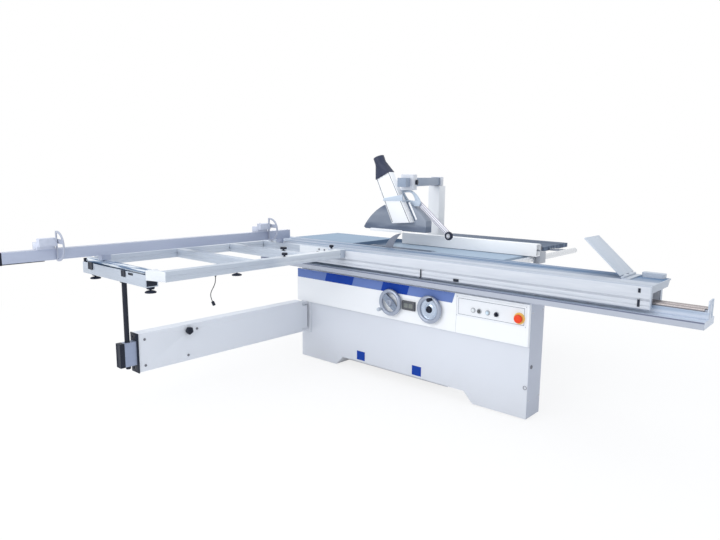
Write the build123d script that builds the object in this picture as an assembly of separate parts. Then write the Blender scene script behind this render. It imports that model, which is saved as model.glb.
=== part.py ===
from build123d import *
import math
import os

os.makedirs("parts", exist_ok=True)

# Sliding-table panel saw, in millimetres with +Z up. The origin is on the floor under the middle
# of the main blade. +X runs along the sliding carriage towards the operator's end, and +Y runs
# from the carriage across the blade to the rip fence.

# Driving heights and lengths
TABLE_Z = 900
BASE_LENGTH = 1920
BASE_DEPTH = 171
RAIL_LENGTH = 3200
CARRIAGE_LENGTH = 3200
CARRIAGE_WIDTH = 329
FENCE_LENGTH = 2061
ARM_LENGTH = 1345
BLADE_RADIUS = 175
RIP_FENCE_LENGTH = 1115

# Clearances
FIT = 0.05
SLIDE_GAP = 0.3
RUN_GAP = 0.5

# Front base box
BASE_X0 = -700
BASE_X1 = BASE_X0 + BASE_LENGTH
BASE_FRONT_Y = -289
BASE_BACK_Y = BASE_FRONT_Y + BASE_DEPTH
BASE_TOP_Z = TABLE_Z - 180
BASE_WALL = 4
PAD_HEIGHT = 8
PAD_RADIUS = 35
NOTCH_HEIGHT = 77
NOTCH_FOOT_LEFT = 370
NOTCH_FOOT_RIGHT = 363
NOTCH_SLOPE = 68
TOP_FLANGE_WIDTH = 89
UNIT_BAY_X0 = -330
UNIT_BAY_X1 = 420

# Rear cabinet that carries the table and holds the saw unit
CABINET_X0 = -410
CABINET_X1 = 560
CABINET_BACK_Y = 470
CABINET_TOP_Z = TABLE_Z - 50
CABINET_FRONT_TOP_Z = TABLE_Z - 130
DUST_RADIUS = 60
DUST_WALL = 3
DUST_LENGTH = 64
DUST_X = 350
DUST_Z = 300
PANEL_LOW_Z = 90
PANEL_HIGH_Z = TABLE_Z - 450

# Fascia along the front of the base
FASCIA_DEPTH = 25
FASCIA_Y = BASE_FRONT_Y - FASCIA_DEPTH
FASCIA_X0 = BASE_X0 - 25
FASCIA_Z0 = BASE_TOP_Z - 266
FASCIA_Z1 = BASE_TOP_Z - 16
FASCIA_WALL = 3
STRIPE_HEIGHT = 65
STRIPE_THICK = 1
STRIPE_SLANT = 20
STRIPE_JOINTS = (-720, -424, -150, 120, 345, 700)
FORK_MARK_WIDTH = 76
FORK_MARK_HEIGHT = 66
FORK_MARK_PLACES = (-118, 382)

# Handwheels and controls on the fascia
WHEEL_Z = FASCIA_Z0 + 121
RAISE_WHEEL_X = 223
TILT_WHEEL_X = 544
WHEEL_RADIUS = 92
WHEEL_SHAFT_RADIUS = 11
PANEL_X0 = 735
PANEL_X1 = 1205
PANEL_THICK = 2
BUTTON_Z = FASCIA_Z0 + 162
INDICATOR_X = 855
START_X = 897
STOP_X = 955
SELECTOR_X = 1015
ESTOP_X = 1162
ESTOP_RADIUS = 25
ESTOP_STEM = 9
BUTTON_STEM = 7
SELECTOR_STEM = 5
READOUT_X0 = 314
READOUT_X1 = 419
READOUT_Z0 = WHEEL_Z - 35
READOUT_Z1 = WHEEL_Z + 26
READOUT_DEPTH = 14
READOUT_RECESS = 2
READOUT_RIM = 10
CONTROL_STEMS = (
    (START_X, BUTTON_STEM),
    (STOP_X, BUTTON_STEM),
    (SELECTOR_X, SELECTOR_STEM),
    (ESTOP_X, ESTOP_STEM),
)

# Fixed rail and its two guide rods
RAIL_CENTRE_X = 510
RAIL_X0 = RAIL_CENTRE_X - RAIL_LENGTH / 2
RAIL_X1 = RAIL_CENTRE_X + RAIL_LENGTH / 2
RAIL_NEAR_Y = -376
RAIL_FAR_Y = -180
RAIL_Z0 = BASE_TOP_Z + 8
RAIL_FLANGE = 36
SPINE_NEAR_Y = -300
SPINE_FAR_Y = -215
SPINE_HEIGHT = 36
ROD_RADIUS = 10
ROD_NEAR_Y = -286
ROD_FAR_Y = -229
SPINE_TOP_Z = RAIL_Z0 + RAIL_FLANGE + SPINE_HEIGHT
ROD_Z = SPINE_TOP_Z + 6

# Sliding carriage
CARRIAGE_CENTRE_X = 264
CARRIAGE_X0 = CARRIAGE_CENTRE_X - CARRIAGE_LENGTH / 2
CARRIAGE_X1 = CARRIAGE_CENTRE_X + CARRIAGE_LENGTH / 2
CARRIAGE_FAR_Y = -20
CARRIAGE_NEAR_Y = CARRIAGE_FAR_Y - CARRIAGE_WIDTH
CARRIAGE_Z0 = TABLE_Z - 118
DECK_THICK = 38
DECK_Z0 = TABLE_Z - DECK_THICK
SKIRT_NEAR = 24
SKIRT_FAR_Y0 = -190
SKIRT_FAR_Y1 = -160
LIP_THICK = 8
LIP_Y = -38

# Swing arm that carries the outer beam
ARM_PIN_X = -649
ARM_PIN_Y = -345
ARM_PIN_RADIUS = 14
ARM_WIDTH = 80
ARM_HEIGHT = 240
ARM_Z1 = FASCIA_Z0 + 12
ARM_Z0 = ARM_Z1 - ARM_HEIGHT
ARM_WALL = 4
ARM_START = 30
TUBE_WIDTH = 50
TUBE_HEIGHT = 146
POST_RADIUS = 15
TUBE_SHOW = 80
POST_INSET = 30
POST_OFFSET = 7

# Outrigger frame on the carriage
FRAME_BAR_WIDTH = 50
FRAME_BAR_HEIGHT = 58
FRAME_Z0 = TABLE_Z - FRAME_BAR_HEIGHT
FRONT_BAR_X = -210
REAR_BAR_X = -1060
INNER_BAR_Y = CARRIAGE_NEAR_Y - FRAME_BAR_WIDTH / 2
BEAM_Y = ARM_PIN_Y - ARM_START - ARM_LENGTH - TUBE_SHOW + POST_INSET - POST_OFFSET
BEAM_WIDTH = 76
BEAM_Z0 = TABLE_Z - 100
BEAM_WALL = 6
ROLLER_RADIUS = 22

# Crosscut fence and its stops
FENCE_FRONT_X = -832
FENCE_THICK = 58
FENCE_HEIGHT = 64
FENCE_Z0 = TABLE_Z + 32
FENCE_Z1 = FENCE_Z0 + FENCE_HEIGHT
FENCE_INNER_Y = -293
FENCE_OUTER_Y = FENCE_INNER_Y - FENCE_LENGTH
FENCE_WALL = 5
FENCE_MID_X = FENCE_FRONT_X - FENCE_THICK / 2
FENCE_BACK_X = FENCE_FRONT_X - FENCE_THICK
FENCE_PIVOT_Y = INNER_BAR_Y
OUTER_STOP_Y = -2125
INNER_STOP_Y = -571
STOP_LENGTH = 97

# Tables
TABLE_NEAR_Y = -14
TABLE_DEPTH = 525
TABLE_FAR_Y = TABLE_NEAR_Y + TABLE_DEPTH
TABLE_X0 = -420
TABLE_X1 = 880
TABLE_THICK = 32
OUTFEED_LENGTH = 660
SIDE_X0 = -320
SIDE_X1 = 760
SIDE_DEPTH = 759
NOTCH_X0 = -250
NOTCH_X1 = 320
LEDGE = 10
INSERT_NEAR_Y = 6
INSERT_FAR_Y = 40
INSERT_THICK = 8

# Rip fence and its guide bar
BAR_X = 930
BAR_Z = TABLE_Z - 22
BAR_RADIUS = 20
BAR_NEAR_Y = -10
BAR_LENGTH = 1010
RIP_X0 = -140
RIP_NEAR_Y = 252
RIP_THICK = 58
RIP_FAR_Y = RIP_NEAR_Y + RIP_THICK
RIP_Z0 = TABLE_Z + 3
RIP_Z1 = RIP_Z0 + 82
CARRIER_LENGTH = 90
LOCK_STEM = 6

# Guard, its column and its boom
COLUMN_X = -250
COLUMN_Y = 870
COLUMN_WIDTH = 112
COLUMN_DEPTH = 90
COLUMN_X1 = COLUMN_X + COLUMN_WIDTH / 2
BOOM_Z = TABLE_Z + 478
BOOM_SIDE = 62
BOOM_TAIL = 60
COLUMN_TOP_Z = BOOM_Z - BOOM_SIDE / 2 - 7
LIFT_X = 95
LIFT_Y = 0
LIFT_RADIUS = 10
HEAD_LENGTH = 100
HEAD_WIDTH = 94
HEAD_SHIFT = 8
HEAD_HEIGHT = 110
NOSE_LENGTH = 110
HEAD_Z0 = BOOM_Z - HEAD_HEIGHT / 2
HOOD_X0 = -286
HOOD_X1 = 285
HOOD_Z0 = TABLE_Z + 130
HOOD_TOP_Z = HOOD_Z0 + 212
HOOD_HALF = 35
HOOD_WALL = 3
DUCT_LEAN = 24.6
DUCT_WIDTH = 132
DUCT_DEPTH = 50
DUCT_WALL = 3
DUCT_FOOT = ((25, HOOD_Z0 + 56), (190, HOOD_Z0 + 70))
DUCT_TOP_X = -68
DUCT_TOP_Z = HOOD_Z0 + 391
DUCT_NEAR_Y = -HOOD_HALF - DUCT_DEPTH
ADAPTER_LENGTH = 100
SPOUT_RADIUS = 40
SPOUT_LENGTH = 45
HANGER_HALF = 8
STRAP_THICK = 6
STRUT_PIVOT = (197, HOOD_Z0 + 197)
STRUT_THICK = 6
STRUT_HALF = 20
STRUT_PIN = 5
RIDER_CENTRE = (456, TABLE_Z + 120)
RIDER_RADIUS = 29
RIDER_WIDTH = 22

# Saw unit
BLADE_THICK = 3.2
ARBOR_Z = TABLE_Z - BLADE_RADIUS - 5
ARBOR_RADIUS = 15
FLANGE_RADIUS = 40
FLANGE_THICK = 10
KNIFE_HALF = 1.4
KNIFE_GAP = 6
KNIFE_WIDTH = 25
HOLDER_DROP = 30
FIN_REAR_ANGLE = 122
FIN_FRONT_ANGLE = 100
FIN_TIP_X = 47
FIN_HEIGHT = 113
HOUSING_HALF = 130
HOUSING_Y0 = 20
HOUSING_Y1 = 90
PULLEY_Y0 = 96
PULLEY_Y1 = 126
PLATE_Y = 132
PLATE_THICK = 18
ARBOR_PULLEY = 42
MOTOR_PULLEY = 40
MOTOR_Z = ARBOR_Z - 240
MOTOR_RADIUS = 78
BELT_THICK = 4
RISE_ROD_X = 100
RISE_ROD_Y = 55
RISE_ROD_RADIUS = 15
RISE_SEAT_Z = TABLE_Z - 280
TRUNNION_X = (-252, 340)
TRUNNION_RADIUS = 300
TRUNNION_THICK = 20
TRUNNION_DEPTH = 100
CROSS_PLATE_Y = 180
CROSS_PLATE_THICK = 20
SEAT_WIDTH = 24
SEAT_THICK = 20
SCORING_X = 245
SCORING_Z = TABLE_Z - 63
SCORING_RADIUS = 60
SCORING_SPINDLE = 8

# Buttons, stop collar and handwheel details
BUTTON_RADIUS = 11
BEZEL_DEPTH = 6
BEZEL_Y = FASCIA_Y - PANEL_THICK - BEZEL_DEPTH
ESTOP_TRAVEL = 6
COLLAR_DEPTH = 8
WHEEL_BACK_Y = FASCIA_Y - 12
WHEEL_RIM = 14
GRIP_RADIUS = 13
GRIP_LENGTH = 46
GRIP_OFFSET = WHEEL_RADIUS - WHEEL_RIM

# Rail and carriage details
RAIL_PLATE = 6
LUG_TOP_Z = DECK_Z0 - 6
RIB_PITCH = 18
RIB_GROOVE = 3
T_SLOT_Y = CARRIAGE_NEAR_Y + 31
END_CAP = 5

# Roller cage
CAGE_LENGTH = 1300
CAGE_X = 387
CAGE_ROLLERS = 9
CAGE_STRIP = 4
CAGE_NEAR_Y = CARRIAGE_NEAR_Y + SKIRT_NEAR + 9
CAGE_FAR_Y = SKIRT_FAR_Y0 - 9
CAGE_AXLE_RADIUS = 6
CAGE_ROLLER_RADIUS = (DECK_Z0 - ROD_Z - ROD_RADIUS) / 2 - SLIDE_GAP
CAGE_Z = (DECK_Z0 + ROD_Z + ROD_RADIUS) / 2

# Push plate and end lock
PUSH_X = CARRIAGE_X1 - 180
PUSH_WIDTH = 204
PUSH_LENGTH = 286
PUSH_THICK = 8
PUSH_LEAN = 42
PUSH_KNUCKLE = 8
PUSH_PIN = 3
LOCK_LENGTH = 115
LOCK_WIDTH = 50
LOCK_HEIGHT = 25
PUSH_FAR_Y = CARRIAGE_FAR_Y
PUSH_NEAR_Y = PUSH_FAR_Y - PUSH_WIDTH
PUSH_Z = TABLE_Z + PUSH_KNUCKLE

# Frame bars, outer beam and feet
BAR_WALL = 5
BEAM_NEAR_Y = BEAM_Y + BEAM_WIDTH / 2
BEAM_FAR_Y = BEAM_Y - BEAM_WIDTH / 2
BEAM_X0 = REAR_BAR_X - FRAME_BAR_WIDTH / 2
BEAM_X1 = -318
BEAM_Z1 = BEAM_Z0 + 70
CORNER_Y = BEAM_NEAR_Y - 31
INNER_FACE_Y = CARRIAGE_NEAR_Y - FRAME_BAR_WIDTH
MID_BAR_PLACES = (-1150, -700)
ROLLER_Z = TABLE_Z - ROLLER_RADIUS
BRACKET_THICK = 15
JOURNAL_RADIUS = 8
FOOT_BLOCK = 36
FOOT_BLOCK_HEIGHT = 14
FOOT_STEM = 6
FOOT_DISC = 14
FOOT_RADIUS = 32
BAR_FOOT_X = -385
BAR_FOOT_DROP = 44
BEAM_FOOT_DROP = 20
KNOB_TOP_Z = TABLE_Z + 26

# Hinge, end and inner tube of the swing arm
SLEEVE_RADIUS = 24
LUG_HEIGHT = 22
HINGE_TOP_Z = FASCIA_Z0 - 2
CHEEK_Y = ARM_PIN_Y + 23
CHEEK_INSET = 2
ARM_Y1 = ARM_PIN_Y - ARM_START
ARM_Y0 = ARM_Y1 - ARM_LENGTH
ARM_MID_Z = (ARM_Z0 + ARM_Z1) / 2
END_FRAME = 6
END_FRAME_LIP = 4
FRAME_HOLE = 6
KNOB_Y = -1375
KNOB_Z = ARM_Z1 - 40
KNOB_STEM = 6
KNOB_RADIUS = 25
TUBE_INSIDE = 1190
TUBE_WALL = 4
TUBE_Y0 = ARM_Y0 - TUBE_SHOW
TUBE_CAP = 30
POST_STUB = 20
POST_Y = TUBE_Y0 + POST_INSET
POST_LOW_Z = ARM_MID_Z - TUBE_HEIGHT / 2 - POST_STUB
POST_TOP_Z = BEAM_Z0 - RUN_GAP

# Fence pivot, extension and flags
PIVOT_RADIUS = 12
PIVOT_BOSS = 28
FOOT_LENGTH = 60
EXTENSION_LENGTH = 1150
EXTENSION_CAP = 45
STOP_AXIS_X = FENCE_FRONT_X + 21
STOP_AXIS_Z = FENCE_Z1 + 44
STOP_PIN = 6
FLAG_GAP = 3
FLAG_THICK = 6
FLAG_CLEAR = 5
FLAG_OFFSET = 20
FLAG_RISE = 16
FLAG_RADIUS = 87
FLAG_RIM = 13

# Hanging lead under the front bar of the outrigger frame
LEAD_RADIUS = 2.5
LEAD_GLAND = 12
LEAD_START = (FRONT_BAR_X, -1434, FRAME_Z0 - LEAD_GLAND)
LEAD_STEPS = ((0, 0, -28), (-2, -13, -30), (-3, -18, -28), (0, -4, -30), (2, 12, -28))


# Shape helpers
def block(x0, x1, y0, y1, z0, z1):
    """A block between six planes."""
    middle = Pos((x0 + x1) / 2, (y0 + y1) / 2, (z0 + z1) / 2)
    return middle * Box(x1 - x0, y1 - y0, z1 - z0)


def rod_x(x0, x1, y, z, radius):
    """A round bar along X."""
    return Pos((x0 + x1) / 2, y, z) * Rot(0, 90, 0) * Cylinder(radius, x1 - x0)


def rod_y(x, y0, y1, z, radius):
    """A round bar along Y."""
    return Pos(x, (y0 + y1) / 2, z) * Rot(90, 0, 0) * Cylinder(radius, y1 - y0)


def rod_z(x, y, z0, z1, radius):
    """A round bar along Z."""
    return Pos(x, y, (z0 + z1) / 2) * Cylinder(radius, z1 - z0)


def prism_x(outline, x0, x1):
    """An outline of (y, z) points drawn out along X."""
    face = make_face(Polyline(*outline, close=True))
    return extrude(Plane.YZ.offset(x0) * face, amount=x1 - x0)


def prism_y(outline, y0, y1):
    """An outline of (x, z) points drawn out along Y."""
    face = make_face(Polyline(*outline, close=True))
    return extrude(Plane.XZ.offset(-y0) * face, amount=y0 - y1)


def prism_z(outline, z0, z1):
    """An outline of (x, y) points drawn out along Z."""
    face = make_face(Polyline(*outline, close=True))
    return extrude(Plane.XY.offset(z0) * face, amount=z1 - z0)


def save(node, solids):
    """Write one node, which is a solid or a list of separate solids."""
    shape = Compound(children=list(solids)) if isinstance(solids, (list, tuple)) else solids
    export_step(shape, f"parts/{node}.step")


# Base
def base_box():
    """Long box of welded plates with a fork notch below and a bay for the saw unit behind."""
    x0, x1, wall = BASE_X0, BASE_X1, BASE_WALL
    front, back = BASE_FRONT_Y, BASE_BACK_Y
    z0, z1 = NOTCH_HEIGHT, BASE_TOP_Z - wall
    flange_y = front + TOP_FLANGE_WIDTH
    bay_x0, bay_x1 = CABINET_X0 + 2 * wall, CABINET_X1 - 2 * wall
    front_plate = block(x0, x1, front, front + wall, z0, z1)
    for x in (RAISE_WHEEL_X, TILT_WHEEL_X):
        front_plate -= rod_y(x, front - 1, front + wall + 1, WHEEL_Z, WHEEL_SHAFT_RADIUS + FIT)
    ends = [block(x, x + wall, front + wall, back - wall, z0, z1) for x in (x0, x1 - wall)]
    backs = [block(a, b, back - wall, back, z0, z1) for a, b in ((x0, bay_x0), (bay_x1, x1))]
    floor = block(x0 + wall, x1 - wall, front + wall, back - wall, z0, z0 + wall)
    tops = [block(x0, x1, front, flange_y, z1, BASE_TOP_Z)]
    tops += [block(a, b, flange_y, back, z1, BASE_TOP_Z) for a, b in ((x0, UNIT_BAY_X0), (UNIT_BAY_X1, x1))]
    left, right = x0 + NOTCH_FOOT_LEFT, x1 - NOTCH_FOOT_RIGHT
    left_foot = [(x0, PAD_HEIGHT), (left, PAD_HEIGHT), (left + NOTCH_SLOPE, z0), (x0, z0)]
    right_foot = [(x1, PAD_HEIGHT), (x1, z0), (right - NOTCH_SLOPE, z0), (right, PAD_HEIGHT)]
    feet = [prism_y(outline, front, back) for outline in (left_foot, right_foot)]
    return [front_plate, floor] + ends + backs + tops + feet


def levelling_pads():
    """Four round pads under the two feet."""
    y = (BASE_FRONT_Y + BASE_BACK_Y) / 2
    edge = 2 * PAD_RADIUS
    places = (BASE_X0 + edge, BASE_X0 + NOTCH_FOOT_LEFT - edge,
              BASE_X1 - NOTCH_FOOT_RIGHT + edge, BASE_X1 - edge)
    return [rod_z(x, y, 0, PAD_HEIGHT, PAD_RADIUS) for x in places]


def fork_markers():
    """Plain square plates above the fork notch."""
    y0, z0 = BASE_FRONT_Y - STRIPE_THICK, NOTCH_HEIGHT + 15
    z1 = z0 + FORK_MARK_HEIGHT
    return [block(x, x + FORK_MARK_WIDTH, y0, BASE_FRONT_Y, z0, z1) for x in FORK_MARK_PLACES]


def rear_cabinet():
    """Open-topped cabinet of welded plates behind the base box."""
    wall = BASE_WALL
    floor = block(CABINET_X0, CABINET_X1, BASE_BACK_Y, CABINET_BACK_Y, 0, wall)
    outline = [(BASE_BACK_Y, wall), (CABINET_BACK_Y - wall, wall), (CABINET_BACK_Y - wall, CABINET_TOP_Z),
               (TABLE_NEAR_Y, CABINET_TOP_Z), (TABLE_NEAR_Y, CABINET_FRONT_TOP_Z),
               (BASE_BACK_Y, CABINET_FRONT_TOP_Z)]
    sides = [prism_x(outline, x, x + wall) for x in (CABINET_X0, CABINET_X1 - wall)]
    back = block(CABINET_X0, CABINET_X1, CABINET_BACK_Y - wall, CABINET_BACK_Y, wall, CABINET_TOP_Z)
    back -= rod_y(DUST_X, CABINET_BACK_Y - 2 * wall, CABINET_BACK_Y + 1, DUST_Z, DUST_RADIUS - DUST_WALL)
    return [floor, back] + sides


def dust_outlet():
    """Round spigot for the lower extraction hose, butted on the cabinet around its opening."""
    y0 = CABINET_BACK_Y
    y1 = CABINET_BACK_Y + DUST_LENGTH
    pipe = rod_y(DUST_X, y0, y1, DUST_Z, DUST_RADIUS)
    bore = rod_y(DUST_X, y0 - 1, y1 + 1, DUST_Z, DUST_RADIUS - DUST_WALL)
    return pipe - bore


def service_panel():
    """Flat cover on the back of the cabinet with a row of vent slots."""
    x0, x1, z0, z1 = CABINET_X0 + 80, CABINET_X1 - 370, PANEL_LOW_Z, PANEL_HIGH_Z
    shape = block(x0, x1, CABINET_BACK_Y, CABINET_BACK_Y + 3, z0, z1)
    for row in range(8):
        z = z1 - 60 - 22 * row
        shape -= block(x0 + 60, x1 - 60, CABINET_BACK_Y - 1, CABINET_BACK_Y + 4, z - 4, z + 4)
    return shape


def panel_locks():
    """Quarter-turn locks at the corners of the rear cover."""
    y0 = CABINET_BACK_Y + 3
    heights = (PANEL_LOW_Z + 25, PANEL_HIGH_Z - 25)
    places = [(x, z) for x in (CABINET_X0 + 105, CABINET_X1 - 395) for z in heights]
    return [rod_y(x, y0, y0 + 5, z, 9) for x, z in places]


# Fascia and controls
def fascia():
    """Shallow pressed cover along the front, open at its back."""
    shape = block(FASCIA_X0, BASE_X1, FASCIA_Y, BASE_FRONT_Y, FASCIA_Z0, FASCIA_Z1)
    shape -= block(FASCIA_X0 + FASCIA_WALL, BASE_X1 - FASCIA_WALL, FASCIA_Y + FASCIA_WALL,
                   BASE_FRONT_Y + 1, FASCIA_Z0 + FASCIA_WALL, FASCIA_Z1 - FASCIA_WALL)
    for x in (RAISE_WHEEL_X, TILT_WHEEL_X):
        shape -= rod_y(x, FASCIA_Y - 1, FASCIA_Y + FASCIA_WALL + 1, WHEEL_Z, WHEEL_SHAFT_RADIUS + SLIDE_GAP)
    for x, radius in CONTROL_STEMS:
        shape -= rod_y(x, FASCIA_Y - 1, FASCIA_Y + FASCIA_WALL + 1, BUTTON_Z, radius + SLIDE_GAP)
    return shape


def stripe(first):
    """Every second segment of the coloured stripe, starting at the given one."""
    z1 = FASCIA_Z1
    z0 = z1 - STRIPE_HEIGHT
    segments = []
    for i in range(first, len(STRIPE_JOINTS) - 1, 2):
        left, right = STRIPE_JOINTS[i], STRIPE_JOINTS[i + 1]
        slant_left = STRIPE_SLANT if i else 0
        outline = [(left, z0), (right, z0), (right + STRIPE_SLANT, z1), (left + slant_left, z1)]
        segments.append(prism_y(outline, FASCIA_Y - STRIPE_THICK, FASCIA_Y))
    return segments


def control_panel():
    """Thin plate that carries the buttons."""
    y0 = FASCIA_Y - PANEL_THICK
    shape = block(PANEL_X0, PANEL_X1, y0, FASCIA_Y, FASCIA_Z0 + 110, FASCIA_Z1 - 12)
    for x, radius in CONTROL_STEMS:
        shape -= rod_y(x, y0 - 1, FASCIA_Y + 1, BUTTON_Z, radius + SLIDE_GAP)
    return shape


def button_bezels():
    """Rings around the lamp, the two buttons and the selector."""
    ring = []
    for x in (INDICATOR_X, START_X, STOP_X, SELECTOR_X):
        outer = rod_y(x, BEZEL_Y, BEZEL_Y + BEZEL_DEPTH, BUTTON_Z, BUTTON_RADIUS + 5)
        ring.append(outer - rod_y(x, BEZEL_Y - 1, BEZEL_Y + BEZEL_DEPTH + 1, BUTTON_Z, BUTTON_RADIUS))
    return ring


def indicator_lens():
    """Pale lamp lens inside the first ring."""
    return rod_y(INDICATOR_X, BEZEL_Y - 4, BEZEL_Y + BEZEL_DEPTH, BUTTON_Z, BUTTON_RADIUS - 0.1)


def push_button(x):
    """Button cap on a short stem through the panel."""
    cap = rod_y(x, BEZEL_Y - 5, BEZEL_Y, BUTTON_Z, BUTTON_RADIUS - SLIDE_GAP)
    stem = rod_y(x, BEZEL_Y, FASCIA_Y + FASCIA_WALL + 2, BUTTON_Z, BUTTON_STEM)
    return cap + stem


def selector_knob():
    """Round selector with a raised grip bar."""
    disc = rod_y(SELECTOR_X, BEZEL_Y - 6, BEZEL_Y - SLIDE_GAP, BUTTON_Z, 14)
    stem = rod_y(SELECTOR_X, BEZEL_Y - 1, FASCIA_Y + FASCIA_WALL + 2, BUTTON_Z, SELECTOR_STEM)
    grip = block(SELECTOR_X - 4, SELECTOR_X + 4, BEZEL_Y - 18, BEZEL_Y - 5, BUTTON_Z - 13, BUTTON_Z + 13)
    return disc + stem + grip


def estop_collar():
    """Round collar under the stop mushroom."""
    y1 = FASCIA_Y - PANEL_THICK
    outer = rod_y(ESTOP_X, y1 - COLLAR_DEPTH, y1, BUTTON_Z, ESTOP_RADIUS + 9)
    return outer - rod_y(ESTOP_X, y1 - COLLAR_DEPTH - 1, y1 + 1, BUTTON_Z, ESTOP_STEM + SLIDE_GAP)


def estop_button():
    """Mushroom head on a stem."""
    face_y = FASCIA_Y - PANEL_THICK - COLLAR_DEPTH - ESTOP_TRAVEL - RUN_GAP
    head = rod_y(ESTOP_X, face_y - 16, face_y, BUTTON_Z, ESTOP_RADIUS)
    head = fillet(head.edges().filter_by(GeomType.CIRCLE).sort_by(Axis.Y)[0], radius=8)
    return head + rod_y(ESTOP_X, face_y - 1, FASCIA_Y + FASCIA_WALL + 2, BUTTON_Z, ESTOP_STEM)


def readout_housing():
    """Dark readout between the handwheels."""
    y0, recess_y = FASCIA_Y - READOUT_DEPTH, FASCIA_Y - READOUT_DEPTH + READOUT_RECESS
    body = block(READOUT_X0, READOUT_X1, y0, FASCIA_Y, READOUT_Z0, READOUT_Z1)
    return body - block(READOUT_X0 + READOUT_RIM, READOUT_X1 - READOUT_RIM, y0 - 1, recess_y,
                        READOUT_Z0 + READOUT_RIM, READOUT_Z1 - READOUT_RIM)


def readout_screen():
    """Glass of the readout, set into its housing."""
    recess_y = FASCIA_Y - READOUT_DEPTH + READOUT_RECESS
    return block(READOUT_X0 + READOUT_RIM, READOUT_X1 - READOUT_RIM, recess_y - 1, recess_y,
                 READOUT_Z0 + READOUT_RIM, READOUT_Z1 - READOUT_RIM)


def wheel_shaft(x):
    """Shaft from the wheel through the fascia into the front wall."""
    return rod_y(x, WHEEL_BACK_Y - 1, BASE_FRONT_Y + BASE_WALL + 12, WHEEL_Z, WHEEL_SHAFT_RADIUS)


def raise_handwheel():
    """Open handwheel with a round rim, one broad diagonal spoke and a hub."""
    x, z = RAISE_WHEEL_X, WHEEL_Z
    rim = Pos(x, WHEEL_BACK_Y - WHEEL_RIM, z) * Rot(90, 0, 0) * Torus(WHEEL_RADIUS - WHEEL_RIM, WHEEL_RIM)
    spoke = Pos(x, WHEEL_BACK_Y - WHEEL_RIM, z) * Rot(0, 40, 0) * Box(2 * (WHEEL_RADIUS - WHEEL_RIM), 12, 46)
    hub = rod_y(x, WHEEL_BACK_Y - 30, WHEEL_BACK_Y, z, 26)
    return rim + spoke + hub + wheel_shaft(x)


def tilt_handwheel():
    """Dished disc handwheel with a hub."""
    x, z = TILT_WHEEL_X, WHEEL_Z
    rim = Pos(x, WHEEL_BACK_Y - WHEEL_RIM, z) * Rot(90, 0, 0) * Torus(WHEEL_RADIUS - WHEEL_RIM, WHEEL_RIM)
    dish = rod_y(x, WHEEL_BACK_Y - 12, WHEEL_BACK_Y - 4, z, WHEEL_RADIUS - WHEEL_RIM)
    hub = rod_y(x, WHEEL_BACK_Y - 26, WHEEL_BACK_Y, z, 24)
    return rim + dish + hub + wheel_shaft(x)


def wheel_grip(x, angle):
    """Turned grip on the rim, at an angle from straight up."""
    gx = x + GRIP_OFFSET * math.sin(math.radians(angle))
    gz = WHEEL_Z + GRIP_OFFSET * math.cos(math.radians(angle))
    y1 = WHEEL_BACK_Y - 2 * WHEEL_RIM - SLIDE_GAP
    return rod_y(gx, y1 - GRIP_LENGTH, y1, gz, GRIP_RADIUS)


# Rail
def rail():
    """Hollow guideway extrusion with grooves for the guide rods."""
    z0, z1 = RAIL_Z0, RAIL_Z0 + RAIL_FLANGE
    outline = [
        (RAIL_NEAR_Y, z0), (RAIL_FAR_Y, z0), (RAIL_FAR_Y, z1), (SPINE_FAR_Y, z1),
        (SPINE_FAR_Y, SPINE_TOP_Z), (SPINE_NEAR_Y, SPINE_TOP_Z), (SPINE_NEAR_Y, z1), (RAIL_NEAR_Y, z1),
    ]
    shape = prism_x(outline, RAIL_X0, RAIL_X1)
    wall = 7
    for y0, y1 in ((RAIL_NEAR_Y, SPINE_NEAR_Y), (SPINE_NEAR_Y, SPINE_FAR_Y), (SPINE_FAR_Y, RAIL_FAR_Y)):
        shape -= block(RAIL_X0 - 1, RAIL_X1 + 1, y0 + wall, y1 - wall, z0 + wall, z1 - wall)
    for y in (ROD_NEAR_Y, ROD_FAR_Y):
        shape -= rod_x(RAIL_X0 - 1, RAIL_X1 + 1, y, ROD_Z, ROD_RADIUS)
    return shape


def guide_rods():
    """Two hardened rods that the carriage rollers run on."""
    inset = 15
    return [rod_x(RAIL_X0 + inset, RAIL_X1 - inset, y, ROD_Z, ROD_RADIUS) for y in (ROD_NEAR_Y, ROD_FAR_Y)]


def rail_spacers():
    """Seats between the base and the rail."""
    width = 80
    places = (BASE_X0 + 90, (BASE_X0 + BASE_X1) / 2, BASE_X1 - 90)
    y1 = BASE_FRONT_Y + TOP_FLANGE_WIDTH
    return [block(x - width / 2, x + width / 2, BASE_FRONT_Y, y1, BASE_TOP_Z, RAIL_Z0) for x in places]


def rail_end_plates():
    """End plates of the rail, each with an upright stop lug."""
    plates = []
    for x0, x1 in ((RAIL_X0 - RAIL_PLATE, RAIL_X0), (RAIL_X1, RAIL_X1 + RAIL_PLATE)):
        foot = block(x0, x1, RAIL_NEAR_Y, RAIL_FAR_Y, RAIL_Z0, RAIL_Z0 + RAIL_FLANGE)
        plates.append(foot + block(x0, x1, SPINE_NEAR_Y, SPINE_FAR_Y, RAIL_Z0, LUG_TOP_Z))
    return plates


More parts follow.
